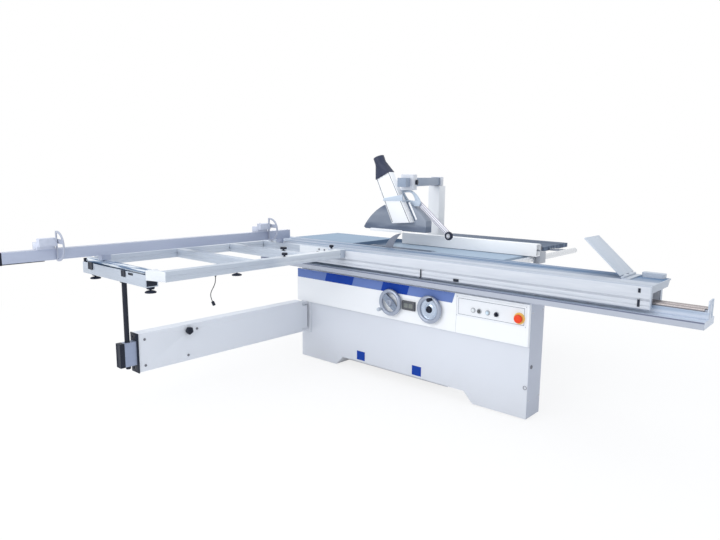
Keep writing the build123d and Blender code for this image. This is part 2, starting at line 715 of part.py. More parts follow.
# Carriage
def carriage_outline():
    """Section of the carriage: deck, two skirts and a thin far lip over a slanted undercut."""
    undercut_y = LIP_Y - (DECK_THICK - LIP_THICK)
    return [
        (CARRIAGE_NEAR_Y, CARRIAGE_Z0), (CARRIAGE_NEAR_Y + SKIRT_NEAR, CARRIAGE_Z0),
        (CARRIAGE_NEAR_Y + SKIRT_NEAR, DECK_Z0), (SKIRT_FAR_Y0, DECK_Z0), (SKIRT_FAR_Y0, CARRIAGE_Z0),
        (SKIRT_FAR_Y1, CARRIAGE_Z0), (SKIRT_FAR_Y1, DECK_Z0), (undercut_y, DECK_Z0),
        (LIP_Y, TABLE_Z - LIP_THICK), (CARRIAGE_FAR_Y, TABLE_Z - LIP_THICK),
        (CARRIAGE_FAR_Y, TABLE_Z), (CARRIAGE_NEAR_Y, TABLE_Z),
    ]


def carriage():
    """Ribbed aluminium extrusion with T-slots and hollow chambers."""
    x0, x1 = CARRIAGE_X0, CARRIAGE_X1
    shape = prism_x(carriage_outline(), x0, x1)
    slots = [(T_SLOT_Y - 6, T_SLOT_Y + 6, TABLE_Z - 14, TABLE_Z + 1),
             (T_SLOT_Y - 12, T_SLOT_Y + 12, TABLE_Z - 24, TABLE_Z - 14),
             (CARRIAGE_NEAR_Y - 1, CARRIAGE_NEAR_Y + 10, CARRIAGE_Z0 + 40, CARRIAGE_Z0 + 52),
             (CARRIAGE_NEAR_Y - 1, CARRIAGE_NEAR_Y + 4, CARRIAGE_Z0 + 14, CARRIAGE_Z0 + 20)]
    chambers = [(CARRIAGE_NEAR_Y + 60, -215), (-205, SKIRT_FAR_Y1 - 5), (SKIRT_FAR_Y1 + 10, -85)]
    slots += [(y0, y1, DECK_Z0 + 7, TABLE_Z - 13) for y0, y1 in chambers]
    y = T_SLOT_Y + 28
    while y < LIP_Y - RIB_PITCH:
        slots.append((y, y + RIB_GROOVE, TABLE_Z - 1.5, TABLE_Z + 1))
        y += RIB_PITCH
    for y0, y1, z0, z1 in slots:
        shape -= block(x0 - 1, x1 + 1, y0, y1, z0, z1)
    return shape


def carriage_end_caps():
    """Thin plates that close the two ends of the extrusion."""
    ends = (CARRIAGE_X0 - END_CAP, CARRIAGE_X1)
    return [prism_x(carriage_outline(), x, x + END_CAP) for x in ends]


def cage_roller_places():
    """Positions of the rollers along the cage."""
    pitch = (CAGE_LENGTH - 100) / (CAGE_ROLLERS - 1)
    return [CAGE_X - CAGE_LENGTH / 2 + 50 + pitch * i for i in range(CAGE_ROLLERS)]


def roller_cage():
    """Two side strips and the rollers between them, which run on the guide rods."""
    strips = []
    for y in (CAGE_NEAR_Y, CAGE_FAR_Y - CAGE_STRIP):
        strip = block(CAGE_X - CAGE_LENGTH / 2, CAGE_X + CAGE_LENGTH / 2, y, y + CAGE_STRIP,
                      CAGE_Z - 14, CAGE_Z + 14)
        for x in cage_roller_places():
            strip -= rod_y(x, y - 1, y + CAGE_STRIP + 1, CAGE_Z, CAGE_AXLE_RADIUS + FIT)
        strips.append(strip)
    rollers = []
    for x in cage_roller_places():
        axle = rod_y(x, CAGE_NEAR_Y, CAGE_FAR_Y, CAGE_Z, CAGE_AXLE_RADIUS)
        rollers.append(axle + rod_y(x, SPINE_NEAR_Y, SPINE_FAR_Y, CAGE_Z, CAGE_ROLLER_RADIUS))
    return strips + rollers


def push_knuckles(first):
    """Every second knuckle of the push plate's hinge, with its (y0, y1) span."""
    span = PUSH_WIDTH / 5
    return [(PUSH_NEAR_Y + span * i + RUN_GAP / 2, PUSH_NEAR_Y + span * (i + 1) - RUN_GAP / 2)
            for i in range(first, 5, 2)]


def push_hinge():
    """Hinge leaf on the carriage deck with three knuckles and the pin."""
    shape = block(PUSH_X + 2, PUSH_X + 40, PUSH_NEAR_Y, PUSH_FAR_Y, TABLE_Z, TABLE_Z + 5)
    for y0, y1 in push_knuckles(1):
        shape -= block(PUSH_X - 1, PUSH_X + PUSH_KNUCKLE + RUN_GAP, y0 - RUN_GAP, y1 + RUN_GAP,
                       TABLE_Z - 1, TABLE_Z + 6)
    for y0, y1 in push_knuckles(0):
        shape += rod_y(PUSH_X, y0, y1, PUSH_Z, PUSH_KNUCKLE - SLIDE_GAP)
    return shape + rod_y(PUSH_X, PUSH_NEAR_Y, PUSH_FAR_Y, PUSH_Z, PUSH_PIN)


def push_plate():
    """Inclined push plate, drawn flat about its hinge and then leaned back."""
    y0, y1 = PUSH_NEAR_Y - PUSH_FAR_Y, 0
    plate = block(-PUSH_LENGTH, -PUSH_KNUCKLE - 3, y0, y1, -PUSH_THICK / 2, PUSH_THICK / 2)
    for k0, k1 in push_knuckles(1):
        arm = block(-PUSH_KNUCKLE - 4, 0, k0 - PUSH_FAR_Y, k1 - PUSH_FAR_Y, -PUSH_THICK / 2, PUSH_THICK / 2)
        plate += arm + rod_y(0, k0 - PUSH_FAR_Y, k1 - PUSH_FAR_Y, 0, PUSH_KNUCKLE - SLIDE_GAP)
    plate -= rod_y(0, y0 - 1, y1 + 1, 0, PUSH_PIN + FIT)
    return Pos(PUSH_X, PUSH_FAR_Y, PUSH_Z) * Rot(0, PUSH_LEAN, 0) * plate


def lock_block():
    """Rounded block at the operator's end of the deck."""
    x1 = CARRIAGE_X1 - 14
    y1 = CARRIAGE_FAR_Y - 5
    shape = block(x1 - LOCK_LENGTH, x1, y1 - LOCK_WIDTH, y1, TABLE_Z, TABLE_Z + LOCK_HEIGHT)
    return fillet(shape.edges().filter_by(Axis.Z), radius=12)


# Outrigger frame


def bar_x(x0, x1, y):
    """Hollow frame bar along X."""
    half = FRAME_BAR_WIDTH / 2
    bar = block(x0, x1, y - half, y + half, FRAME_Z0, TABLE_Z)
    return bar - block(x0 - 1, x1 + 1, y - half + BAR_WALL, y + half - BAR_WALL,
                       FRAME_Z0 + BAR_WALL, TABLE_Z - BAR_WALL)


def bar_y(x, y0, y1):
    """Hollow frame bar along Y."""
    half = FRAME_BAR_WIDTH / 2
    bar = block(x - half, x + half, y0, y1, FRAME_Z0, TABLE_Z)
    return bar - block(x - half + BAR_WALL, x + half - BAR_WALL, y0 - 1, y1 + 1,
                       FRAME_Z0 + BAR_WALL, TABLE_Z - BAR_WALL)


def frame_side_bars():
    """Front and rear bars that run out from the carriage."""
    return [bar_y(FRONT_BAR_X, CORNER_Y, INNER_FACE_Y), bar_y(REAR_BAR_X, BEAM_NEAR_Y, INNER_FACE_Y)]


def frame_inner_bar():
    """Bar that is clamped along the carriage."""
    half = FRAME_BAR_WIDTH / 2
    return bar_x(REAR_BAR_X - half, FRONT_BAR_X + half, INNER_BAR_Y)


def frame_cross_bars():
    """Two middle bars between the front and rear bars."""
    half = FRAME_BAR_WIDTH / 2
    return [bar_x(REAR_BAR_X + half, FRONT_BAR_X - half, y) for y in MID_BAR_PLACES]


def frame_corner():
    """Slanted corner between the front bar and the outer beam."""
    half = FRAME_BAR_WIDTH / 2
    outline = [(FRONT_BAR_X - half, CORNER_Y), (BEAM_X1, BEAM_NEAR_Y), (BEAM_X1, BEAM_FAR_Y),
               (FRONT_BAR_X + half, CORNER_Y)]
    return prism_z(outline, FRAME_Z0, TABLE_Z)


def outer_beam():
    """Open channel that holds the long roller."""
    shape = block(BEAM_X0, BEAM_X1, BEAM_FAR_Y, BEAM_NEAR_Y, BEAM_Z0, BEAM_Z1)
    return shape - block(BEAM_X0 - 1, BEAM_X1 + 1, BEAM_FAR_Y + BEAM_WALL, BEAM_NEAR_Y - BEAM_WALL,
                         BEAM_Z0 + BEAM_WALL, BEAM_Z1 + 1)


def roller_brackets():
    """Bearing blocks at the two ends of the roller."""
    blocks = []
    for x0 in (BEAM_X0, BEAM_X1 - BRACKET_THICK):
        shape = block(x0, x0 + BRACKET_THICK, BEAM_FAR_Y + BEAM_WALL, BEAM_NEAR_Y - BEAM_WALL,
                      BEAM_Z0 + BEAM_WALL, TABLE_Z - 8)
        blocks.append(shape - rod_x(x0 - 1, x0 + BRACKET_THICK + 1, BEAM_Y, ROLLER_Z, JOURNAL_RADIUS + FIT))
    return blocks


def frame_roller():
    """Long support roller with a journal at each end."""
    inner0 = BEAM_X0 + BRACKET_THICK + RUN_GAP
    inner1 = BEAM_X1 - BRACKET_THICK - RUN_GAP
    journal = rod_x(BEAM_X0 + 1, BEAM_X1 - 1, BEAM_Y, ROLLER_Z, JOURNAL_RADIUS)
    return journal + rod_x(inner0, inner1, BEAM_Y, ROLLER_Z, ROLLER_RADIUS)


def levelling_foot(x, y, z, drop):
    """Threaded foot under a bar: a square block, a stem and a rubber disc."""
    half = FOOT_BLOCK / 2
    shape = block(x - half, x + half, y - half, y + half, z - FOOT_BLOCK_HEIGHT, z)
    shape += rod_z(x, y, z - drop, z - FOOT_BLOCK_HEIGHT / 2, FOOT_STEM)
    return shape + rod_z(x, y, z - drop - FOOT_DISC, z - drop, FOOT_RADIUS)


def frame_feet():
    """Feet on which the frame rests when it is taken off."""
    feet = [levelling_foot(BAR_FOOT_X, MID_BAR_PLACES[0], FRAME_Z0, BAR_FOOT_DROP)]
    beam_places = (BEAM_X0 + 85, BEAM_X1 - FOOT_BLOCK / 2)
    return feet + [levelling_foot(x, BEAM_Y, BEAM_Z0, BEAM_FOOT_DROP) for x in beam_places]


def frame_knobs():
    """Low clamp knobs on the bars."""
    places = [(-449, MID_BAR_PLACES[1], 24), (FRONT_BAR_X, -900, 20),
              (-300, INNER_BAR_Y, 17), (-960, INNER_BAR_Y, 17)]
    return [rod_z(x, y, TABLE_Z, TABLE_Z + 9, 7) + rod_z(x, y, TABLE_Z + 8, KNOB_TOP_Z, radius)
            for x, y, radius in places]


# Swing arm


def arm_bracket():
    """Hinge bracket on the base with an upright pin between two lugs."""
    x0, x1 = ARM_PIN_X - SLEEVE_RADIUS, ARM_PIN_X + SLEEVE_RADIUS
    plate_y = BASE_FRONT_Y - 8
    shape = block(ARM_PIN_X - 51, ARM_PIN_X + 51, plate_y, BASE_FRONT_Y, ARM_Z0 - 18, HINGE_TOP_Z)
    for z0 in (ARM_Z0, HINGE_TOP_Z - LUG_HEIGHT):
        z1 = z0 + LUG_HEIGHT
        shape += block(x0, x1, ARM_PIN_Y, plate_y, z0, z1)
        shape += rod_z(ARM_PIN_X, ARM_PIN_Y, z0, z1, SLEEVE_RADIUS)
    return shape + rod_z(ARM_PIN_X, ARM_PIN_Y, ARM_Z0, HINGE_TOP_Z, ARM_PIN_RADIUS)


def swing_arm():
    """Box arm, open at its outer end, with a sleeve around the hinge pin."""
    x0, x1 = ARM_PIN_X - ARM_WIDTH / 2, ARM_PIN_X + ARM_WIDTH / 2
    shape = block(x0, x1, ARM_Y0, ARM_Y1, ARM_Z0, ARM_Z1)
    shape -= block(x0 + ARM_WALL, x1 - ARM_WALL, ARM_Y0 - 1, ARM_Y1 - ARM_WALL,
                   ARM_Z0 + ARM_WALL, ARM_Z1 - ARM_WALL)
    sleeve_z0 = ARM_Z0 + LUG_HEIGHT + RUN_GAP
    sleeve_z1 = HINGE_TOP_Z - LUG_HEIGHT - RUN_GAP
    shape += block(ARM_PIN_X - 18, ARM_PIN_X + 18, ARM_Y1, ARM_PIN_Y, sleeve_z0, sleeve_z1)
    for x in (x0, x1 - ARM_WALL):
        shape += block(x, x + ARM_WALL, ARM_Y1, CHEEK_Y, sleeve_z0 + CHEEK_INSET, sleeve_z1 - CHEEK_INSET)
    shape += rod_z(ARM_PIN_X, ARM_PIN_Y, sleeve_z0, sleeve_z1, SLEEVE_RADIUS)
    shape -= rod_x(x1 - ARM_WALL - 1, x1 + 1, KNOB_Y, KNOB_Z, KNOB_STEM + FIT)
    return shape - rod_z(ARM_PIN_X, ARM_PIN_Y, ARM_Z0, ARM_Z1, ARM_PIN_RADIUS + FIT)


def arm_end_frame():
    """Collar at the open end that guides the inner tube, with a hole above and below it."""
    x0, x1 = ARM_PIN_X - ARM_WIDTH / 2 - END_FRAME_LIP, ARM_PIN_X + ARM_WIDTH / 2 + END_FRAME_LIP
    shape = block(x0, x1, ARM_Y0 - END_FRAME, ARM_Y0, ARM_Z0 - END_FRAME_LIP, ARM_Z1 + 2)
    half_x, half_z = TUBE_WIDTH / 2 + RUN_GAP, TUBE_HEIGHT / 2 + RUN_GAP
    for z in (ARM_Z0 + 22, ARM_Z1 - 22):
        shape -= rod_y(ARM_PIN_X - 12, ARM_Y0 - END_FRAME - 1, ARM_Y0 + 1, z, FRAME_HOLE)
    return shape - block(ARM_PIN_X - half_x, ARM_PIN_X + half_x, ARM_Y0 - END_FRAME - 1, ARM_Y0 + 1,
                         ARM_MID_Z - half_z, ARM_MID_Z + half_z)


def arm_lock_knob():
    """Knob on the operator's side of the arm that clamps the inner tube."""
    x0 = ARM_PIN_X + ARM_WIDTH / 2
    stem = rod_x(x0 - ARM_WALL, x0 + 8, KNOB_Y, KNOB_Z, KNOB_STEM)
    return stem + rod_x(x0 + 7, x0 + 28, KNOB_Y, KNOB_Z, KNOB_RADIUS)


def arm_lock_boss():
    """Boss under the knob."""
    x0 = ARM_PIN_X + ARM_WIDTH / 2
    boss = rod_x(x0, x0 + 6, KNOB_Y, KNOB_Z, 14)
    return boss - rod_x(x0 - 1, x0 + 7, KNOB_Y, KNOB_Z, KNOB_STEM + FIT)


def arm_screws():
    """Screw heads on the side of the arm: two at its outer end and two by the knob."""
    x0 = ARM_PIN_X + ARM_WIDTH / 2
    high, low = ARM_Z1 - 40, ARM_Z0 + 36
    places = [(ARM_Y0 + 40, high), (ARM_Y0 + 40, low), (KNOB_Y - 6, low), (KNOB_Y + 64, high)]
    return [rod_x(x0, x0 + 5, y, z, 8) for y, z in places]


def inner_tube():
    """Aluminium tube that slides out of the arm, with holes for the post near its end."""
    half_x, half_z, y1 = TUBE_WIDTH / 2, TUBE_HEIGHT / 2, ARM_Y0 + TUBE_INSIDE
    shape = block(ARM_PIN_X - half_x, ARM_PIN_X + half_x, TUBE_Y0, y1, ARM_MID_Z - half_z, ARM_MID_Z + half_z)
    half_x, half_z = half_x - TUBE_WALL, half_z - TUBE_WALL
    shape -= block(ARM_PIN_X - half_x, ARM_PIN_X + half_x, TUBE_Y0 - 1, y1 + 1,
                   ARM_MID_Z - half_z, ARM_MID_Z + half_z)
    return shape - rod_z(ARM_PIN_X, POST_Y, POST_LOW_Z, POST_TOP_Z, POST_RADIUS + FIT)


def tube_end_cap():
    """Cap that closes the outer end of the inner tube."""
    half_x, half_z = TUBE_WIDTH / 2 + 1, TUBE_HEIGHT / 2 + 1
    return block(ARM_PIN_X - half_x, ARM_PIN_X + half_x, TUBE_Y0 - TUBE_CAP, TUBE_Y0,
                 ARM_MID_Z - half_z, ARM_MID_Z + half_z)


def support_post():
    """Upright post through the tube, whose head stands just under the outer beam."""
    shape = rod_z(ARM_PIN_X, POST_Y, POST_LOW_Z, POST_TOP_Z, POST_RADIUS)
    return shape + rod_z(ARM_PIN_X, POST_Y, POST_TOP_Z - 14, POST_TOP_Z, POST_RADIUS + 9)


# Crosscut fence


def fence_pivot():
    """Stud on the inner bar about which the fence swings."""
    return rod_z(FENCE_MID_X, FENCE_PIVOT_Y, TABLE_Z, FENCE_Z0 - 2, PIVOT_RADIUS)


def crosscut_fence():
    """Hollow fence extrusion with a scale groove along its top, a pivot boss and an outer foot."""
    x0, x1 = FENCE_BACK_X, FENCE_FRONT_X
    shape = block(x0, x1, FENCE_OUTER_Y, FENCE_INNER_Y, FENCE_Z0, FENCE_Z1)
    shape -= block(x0 + FENCE_WALL, x1 - FENCE_WALL, FENCE_OUTER_Y - 1, FENCE_INNER_Y + 1,
                   FENCE_Z0 + FENCE_WALL, FENCE_Z1 - FENCE_WALL)
    shape -= block(x1 - 18, x1 - 12, FENCE_OUTER_Y - 1, FENCE_INNER_Y + 1, FENCE_Z1 - 2, FENCE_Z1 + 1)
    foot_z = TABLE_Z + SLIDE_GAP
    boss = rod_z(FENCE_MID_X, FENCE_PIVOT_Y, foot_z, FENCE_Z0, PIVOT_BOSS)
    boss -= rod_z(FENCE_MID_X, FENCE_PIVOT_Y, foot_z - 1, FENCE_Z0 - 1, PIVOT_RADIUS + FIT)
    foot = block(FENCE_MID_X - 20, FENCE_MID_X + 20, BEAM_Y - FOOT_LENGTH / 2, BEAM_Y + FOOT_LENGTH / 2,
                 foot_z, FENCE_Z0)
    return shape + boss + foot


def fence_extension():
    """Inner profile that pulls out of the outer end of the fence."""
    gap = FENCE_WALL + RUN_GAP
    wall = 4
    x0, x1, z0, z1 = FENCE_BACK_X + gap, FENCE_FRONT_X - gap, FENCE_Z0 + gap, FENCE_Z1 - gap
    y0, y1 = FENCE_OUTER_Y - SLIDE_GAP, FENCE_OUTER_Y + EXTENSION_LENGTH
    shape = block(x0, x1, y0, y1, z0, z1)
    return shape - block(x0 + wall, x1 - wall, y0 - 1, y1 + 1, z0 + wall, z1 - wall)


def extension_cap():
    """End cap of the extension with a thin bar below the fence."""
    y1 = FENCE_OUTER_Y - SLIDE_GAP
    bar_z1 = FENCE_Z0 - RUN_GAP
    cap = block(FENCE_BACK_X, FENCE_FRONT_X, y1 - EXTENSION_CAP, y1, FENCE_Z0 - 7, FENCE_Z1)
    return cap + block(FENCE_MID_X - 14, FENCE_MID_X + 14, y1, y1 + 225, FENCE_Z0 - 7, bar_z1)


def stop_slider(y):
    """Saddle on top of the fence with a boss and a stub for the flag."""
    y0, y1 = y - STOP_LENGTH / 2, y + STOP_LENGTH / 2
    z0 = FENCE_Z1 + SLIDE_GAP
    shape = block(FENCE_BACK_X - 4, FENCE_FRONT_X + 4, y0, y1, z0, FENCE_Z1 + 39)
    shape += block(STOP_AXIS_X - 24, STOP_AXIS_X + 18, y0, y1, FENCE_Z1 + 19, FENCE_Z1 + 64)
    return shape + rod_y(STOP_AXIS_X, y1, y1 + FLAG_GAP + FLAG_THICK, STOP_AXIS_Z, STOP_PIN)


def stop_flag(y):
    """Half-moon flag with a cross spoke, which hangs in front of the fence."""
    y0 = y + STOP_LENGTH / 2 + FLAG_GAP
    y1 = y0 + FLAG_THICK
    chord_x = FENCE_FRONT_X + FLAG_CLEAR
    x, z = chord_x + FLAG_OFFSET, FENCE_Z1 + FLAG_RISE
    low, high = z - FLAG_RADIUS, z + FLAG_RADIUS
    flag = rod_y(x, y0, y1, z, FLAG_RADIUS) & block(chord_x, x + FLAG_RADIUS, y0, y1, low, high)
    window = rod_y(x, y0 - 1, y1 + 1, z, FLAG_RADIUS - FLAG_RIM)
    window &= block(chord_x + FLAG_RIM, x + FLAG_RADIUS, y0 - 1, y1 + 1, low, high)
    window -= block(chord_x, x + FLAG_RADIUS, y0 - 2, y1 + 2, STOP_AXIS_Z - FLAG_RIM, STOP_AXIS_Z + FLAG_RIM)
    return flag - window - rod_y(STOP_AXIS_X, y0 - 1, y1 + 1, STOP_AXIS_Z, STOP_PIN + FIT)


# Tables
def table_main():
    """Cast table on the cabinet with a notch beside the blade and a ledge for the insert."""
    z0 = TABLE_Z - TABLE_THICK
    shape = block(TABLE_X0, TABLE_X1, TABLE_NEAR_Y, TABLE_FAR_Y, z0, TABLE_Z)
    rib = 12
    for x0 in (CABINET_X0, CABINET_X1 - rib):
        shape += block(x0, x0 + rib, TABLE_NEAR_Y, CABINET_BACK_Y, CABINET_TOP_Z, z0)
    shape += block(CABINET_X0, CABINET_X1, CABINET_BACK_Y - rib, CABINET_BACK_Y, CABINET_TOP_Z, z0)
    shape -= block(NOTCH_X0, NOTCH_X1, TABLE_NEAR_Y - 1, INSERT_FAR_Y, z0 - 1, TABLE_Z + 1)
    return shape - block(NOTCH_X0 - LEDGE, NOTCH_X1 + LEDGE, INSERT_NEAR_Y, INSERT_FAR_Y + LEDGE,
                         TABLE_Z - INSERT_THICK, TABLE_Z + 1)


def table_insert():
    """Steel strip beside the blade, lying on the ledge."""
    inset = LEDGE - SLIDE_GAP
    return block(NOTCH_X0 - inset, NOTCH_X1 + inset, INSERT_NEAR_Y + SLIDE_GAP, INSERT_FAR_Y + inset,
                 TABLE_Z - INSERT_THICK, TABLE_Z)


def tray(x0, x1, y0, y1):
    """Extension table pressed as a tray, open below."""
    rim = 20
    shape = block(x0, x1, y0, y1, TABLE_Z - TABLE_THICK, TABLE_Z)
    return shape - block(x0 + rim, x1 - rim, y0 + rim, y1 - rim, TABLE_Z - TABLE_THICK - 1, TABLE_Z - 6)


def table_outfeed():
    """Extension behind the blade."""
    return tray(TABLE_X0 - OUTFEED_LENGTH, TABLE_X0, TABLE_NEAR_Y, TABLE_FAR_Y)


def table_side():
    """Extension under the rip fence, notched around the guard column."""
    shape = tray(SIDE_X0, SIDE_X1, TABLE_FAR_Y, TABLE_FAR_Y + SIDE_DEPTH)
    half = COLUMN_DEPTH / 2 + 10
    corner = block(SIDE_X0 + 1, COLUMN_X1 + 20, COLUMN_Y - half - 20, COLUMN_Y + half + 20,
                   TABLE_Z - TABLE_THICK, TABLE_Z)
    notch = block(SIDE_X0 - 1, COLUMN_X1, COLUMN_Y - half, COLUMN_Y + half,
                  TABLE_Z - TABLE_THICK - 1, TABLE_Z + 1)
    return shape + corner - notch


def table_struts():
    """Flat stays from the cabinet to the two extensions."""
    z1 = TABLE_Z - TABLE_THICK
    low = z1 - 390
    reach = OUTFEED_LENGTH - 120
    outer = TABLE_X0 - reach
    outfeed = [(outer, z1), (outer + 60, z1), (CABINET_X0, low + 40), (CABINET_X0, low)]
    back = TABLE_FAR_Y + SIDE_DEPTH
    side = [(back - 80, z1), (back - 10, z1), (CABINET_BACK_Y, low), (CABINET_BACK_Y, low + 50)]
    stays = [prism_y(outfeed, y, y + 8) for y in (60, 420)]
    return stays + [prism_x(side, x, x + 8) for x in (-150, 500)]


# Rip fence and its guide bar
def guide_bar():
    """Round bar along the operator's edge of the tables."""
    return rod_y(BAR_X, BAR_NEAR_Y, BAR_NEAR_Y + BAR_LENGTH, BAR_Z, BAR_RADIUS)


def bar_brackets():
    """Brackets from the table edges to the guide bar."""
    last_y = BAR_NEAR_Y + BAR_LENGTH - 80
    spans = [(TABLE_X1, TABLE_NEAR_Y + 34), (TABLE_X1, TABLE_FAR_Y - 51), (SIDE_X1, last_y)]
    return [block(x, BAR_X - 5, y, y + 30, BAR_Z - 9, BAR_Z + 9) - guide_bar() for x, y in spans]


def rip_carrier():
    """Casting that rides on the guide bar behind the fence."""
    y0 = RIP_FAR_Y + SLIDE_GAP
    y1 = y0 + CARRIER_LENGTH
    top_z = BAR_Z + 48
    shape = block(BAR_X - 34, BAR_X + 45, y0, y1, BAR_Z + 11, top_z)
    shape += block(BAR_X, BAR_X + 45, y0, y1, BAR_Z - 28, BAR_Z + 12)
    shape += block(BAR_X - 34, BAR_X + 40, y0, y0 + 26, top_z - 1, RIP_Z1 - 6)
    shape -= rod_y(BAR_X, y0 - 1, y1 + 1, BAR_Z, BAR_RADIUS + FIT)
    return shape - rod_z(BAR_X + 10, y1 - 30, top_z - 18, top_z + 1, LOCK_STEM + FIT)


def rip_lock_knob():
    """Lock knob on the carrier."""
    y = RIP_FAR_Y + SLIDE_GAP + CARRIER_LENGTH - 30
    top_z = BAR_Z + 48
    stem = rod_z(BAR_X + 10, y, top_z - 17, top_z + 13, LOCK_STEM)
    return stem + rod_z(BAR_X + 10, y, top_z + 12, top_z + 40, 20)


def rip_fence():
    """Hollow rip fence with a slot along its back."""
    wall = 5
    x0, x1 = RIP_X0, RIP_X0 + RIP_FENCE_LENGTH
    shape = block(x0, x1, RIP_NEAR_Y, RIP_FAR_Y, RIP_Z0, RIP_Z1)
    shape -= block(x0 - 1, x1 + 1, RIP_NEAR_Y + wall, RIP_FAR_Y - wall, RIP_Z0 + wall, RIP_Z1 - wall)
    return shape - block(x0 - 1, x1 + 1, RIP_FAR_Y - wall - 1, RIP_FAR_Y + 1, RIP_Z0 + 30, RIP_Z0 + 42)


# Guard on its overhead boom
def column():
    """Square column on its foot plate."""
    x0, x1 = COLUMN_X - COLUMN_WIDTH / 2, COLUMN_X + COLUMN_WIDTH / 2
    y0, y1 = COLUMN_Y - COLUMN_DEPTH / 2, COLUMN_Y + COLUMN_DEPTH / 2
    wall, foot, margin = 5, 10, 45
    tube = block(x0, x1, y0, y1, foot, COLUMN_TOP_Z)
    tube -= block(x0 + wall, x1 - wall, y0 + wall, y1 - wall, foot - 1, COLUMN_TOP_Z + 1)
    return [tube, block(x0 - margin, x1 + margin, y0 - margin, y1 + margin, 0, foot)]


def boom_place(along, z):
    """Frame whose X runs along the boom, at a distance from the guard's lift post."""
    angle = math.atan2(LIFT_Y - COLUMN_Y, LIFT_X - COLUMN_X)
    x = LIFT_X + along * math.cos(angle)
    y = LIFT_Y + along * math.sin(angle)
    return Pos(x, y, z) * Rot(0, 0, math.degrees(angle))


def column_head():
    """Clamp block on the column with a square tunnel for the boom."""
    reach = math.hypot(LIFT_X - COLUMN_X, LIFT_Y - COLUMN_Y)
    height = 2 * (BOOM_Z - COLUMN_TOP_Z)
    tunnel = BOOM_SIDE + 2 * SLIDE_GAP
    return boom_place(-reach, BOOM_Z) * (Box(90, BOOM_SIDE + 28, height) - Box(91, tunnel, tunnel))


def boom():
    """Hollow boom that slides through the clamp block."""
    reach = math.hypot(LIFT_X - COLUMN_X, LIFT_Y - COLUMN_Y)
    near, far = -HEAD_LENGTH / 2, -reach - BOOM_TAIL
    inside = BOOM_SIDE - 8
    tube = Box(near - far, BOOM_SIDE, BOOM_SIDE) - Box(near - far + 1, inside, inside)
    return boom_place((near + far) / 2, BOOM_Z) * tube


def boom_head():
    """Block at the end of the boom with an upright bore for the lift rod."""
    sleeve = Box(HEAD_LENGTH, HEAD_WIDTH, HEAD_HEIGHT)
    sleeve = fillet(sleeve.edges().filter_by(Axis.Z), radius=6)
    bore = Cylinder(LIFT_RADIUS + FIT, HEAD_HEIGHT + 2)
    return boom_place(0, BOOM_Z) * (Pos(0, HEAD_SHIFT, 0) * sleeve - bore)


def boom_nose():
    """Short closed end of the boom in front of the head block."""
    return boom_place((HEAD_LENGTH + NOSE_LENGTH) / 2, BOOM_Z) * Box(NOSE_LENGTH, BOOM_SIDE, BOOM_SIDE)


def boom_knob():
    """Clamp knob on the side of the head block."""
    side = HEAD_SHIFT + HEAD_WIDTH / 2
    knob = Pos(-10, side + 8, 0) * Rot(90, 0, 0) * Cylinder(18, 16)
    return boom_place(0, BOOM_Z) * knob


def hood_face(inset):
    """Side outline of the hood, drawn in by a wall thickness."""
    low = HOOD_Z0 - (1 if inset else 0)
    nose = (HOOD_X0 + 1.5 * inset, HOOD_Z0 + 11)
    crown = (27, HOOD_TOP_Z - inset)
    shoulder = (HOOD_X1 - inset, HOOD_Z0 + 80 - inset)
    left = ThreePointArc(nose, (-158 + 0.6 * inset, HOOD_Z0 + 143 - 0.7 * inset), crown)
    right = ThreePointArc(crown, (178 - 0.4 * inset, HOOD_Z0 + 172 - 0.9 * inset), shoulder)
    low_right = (HOOD_X1 - inset, low)
    low_left = (HOOD_X0 + 16 + inset, low)
    foot = Polyline(shoulder, low_right, low_left, nose)
    return make_face(left + right + foot)


def hood_solid(inset, half):
    """Hood outline drawn out to a half-width on both sides of the blade."""
    return extrude(Plane.XZ * hood_face(inset), amount=half, both=True)


def guard_hood():
    """Thin-walled hood, open below."""
    return hood_solid(0, HOOD_HALF) - hood_solid(HOOD_WALL, HOOD_HALF - HOOD_WALL)


def duct_point(across, along):
    """Point (x, z) beside and beyond the middle of the duct's slanted top edge."""
    lean = math.radians(DUCT_LEAN)
    x = DUCT_TOP_X + across * math.cos(lean) - along * math.sin(lean)
    return x, DUCT_TOP_Z + across * math.sin(lean) + along * math.cos(lean)


def guard_duct():
    """Flat leaning duct on the near side of the hood, wider at its foot and open above."""
    half, wall = DUCT_WIDTH / 2, DUCT_WALL
    left, right = DUCT_FOOT
    outer = prism_y([left, right, duct_point(half, 0), duct_point(-half, 0)], DUCT_NEAR_Y, -HOOD_HALF)
    foot = [(left[0] + wall, left[1] + wall), (right[0] - 2 * wall, right[1] + wall)]
    inner = prism_y(foot + [duct_point(half - wall, 1), duct_point(wall - half, 1)],
                    DUCT_NEAR_Y + wall, -HOOD_HALF - wall)
    return outer - inner


def hose_adapter():
    """Tapered adapter from the duct to a round hose."""
    top_y = -HOOD_HALF - DUCT_DEPTH / 2
    base = Rectangle(DUCT_WIDTH, DUCT_DEPTH + 16)
    top = Plane.XY.offset(ADAPTER_LENGTH) * Circle(SPOUT_RADIUS)
    cone = loft([base, top])
    bore_base = Rectangle(DUCT_WIDTH - 8, DUCT_DEPTH - 8)
    bore_top = Plane.XY.offset(ADAPTER_LENGTH) * Circle(SPOUT_RADIUS - 4)
    spout = Pos(0, 0, ADAPTER_LENGTH + SPOUT_LENGTH / 2) * Cylinder(SPOUT_RADIUS, SPOUT_LENGTH)
    spout -= Pos(0, 0, ADAPTER_LENGTH + SPOUT_LENGTH / 2) * Cylinder(SPOUT_RADIUS - 4, SPOUT_LENGTH + 1)
    place = Pos(DUCT_TOP_X, top_y, DUCT_TOP_Z) * Rot(0, -DUCT_LEAN, 0)
    return place * (cone - loft([bore_base, bore_top]) + spout)


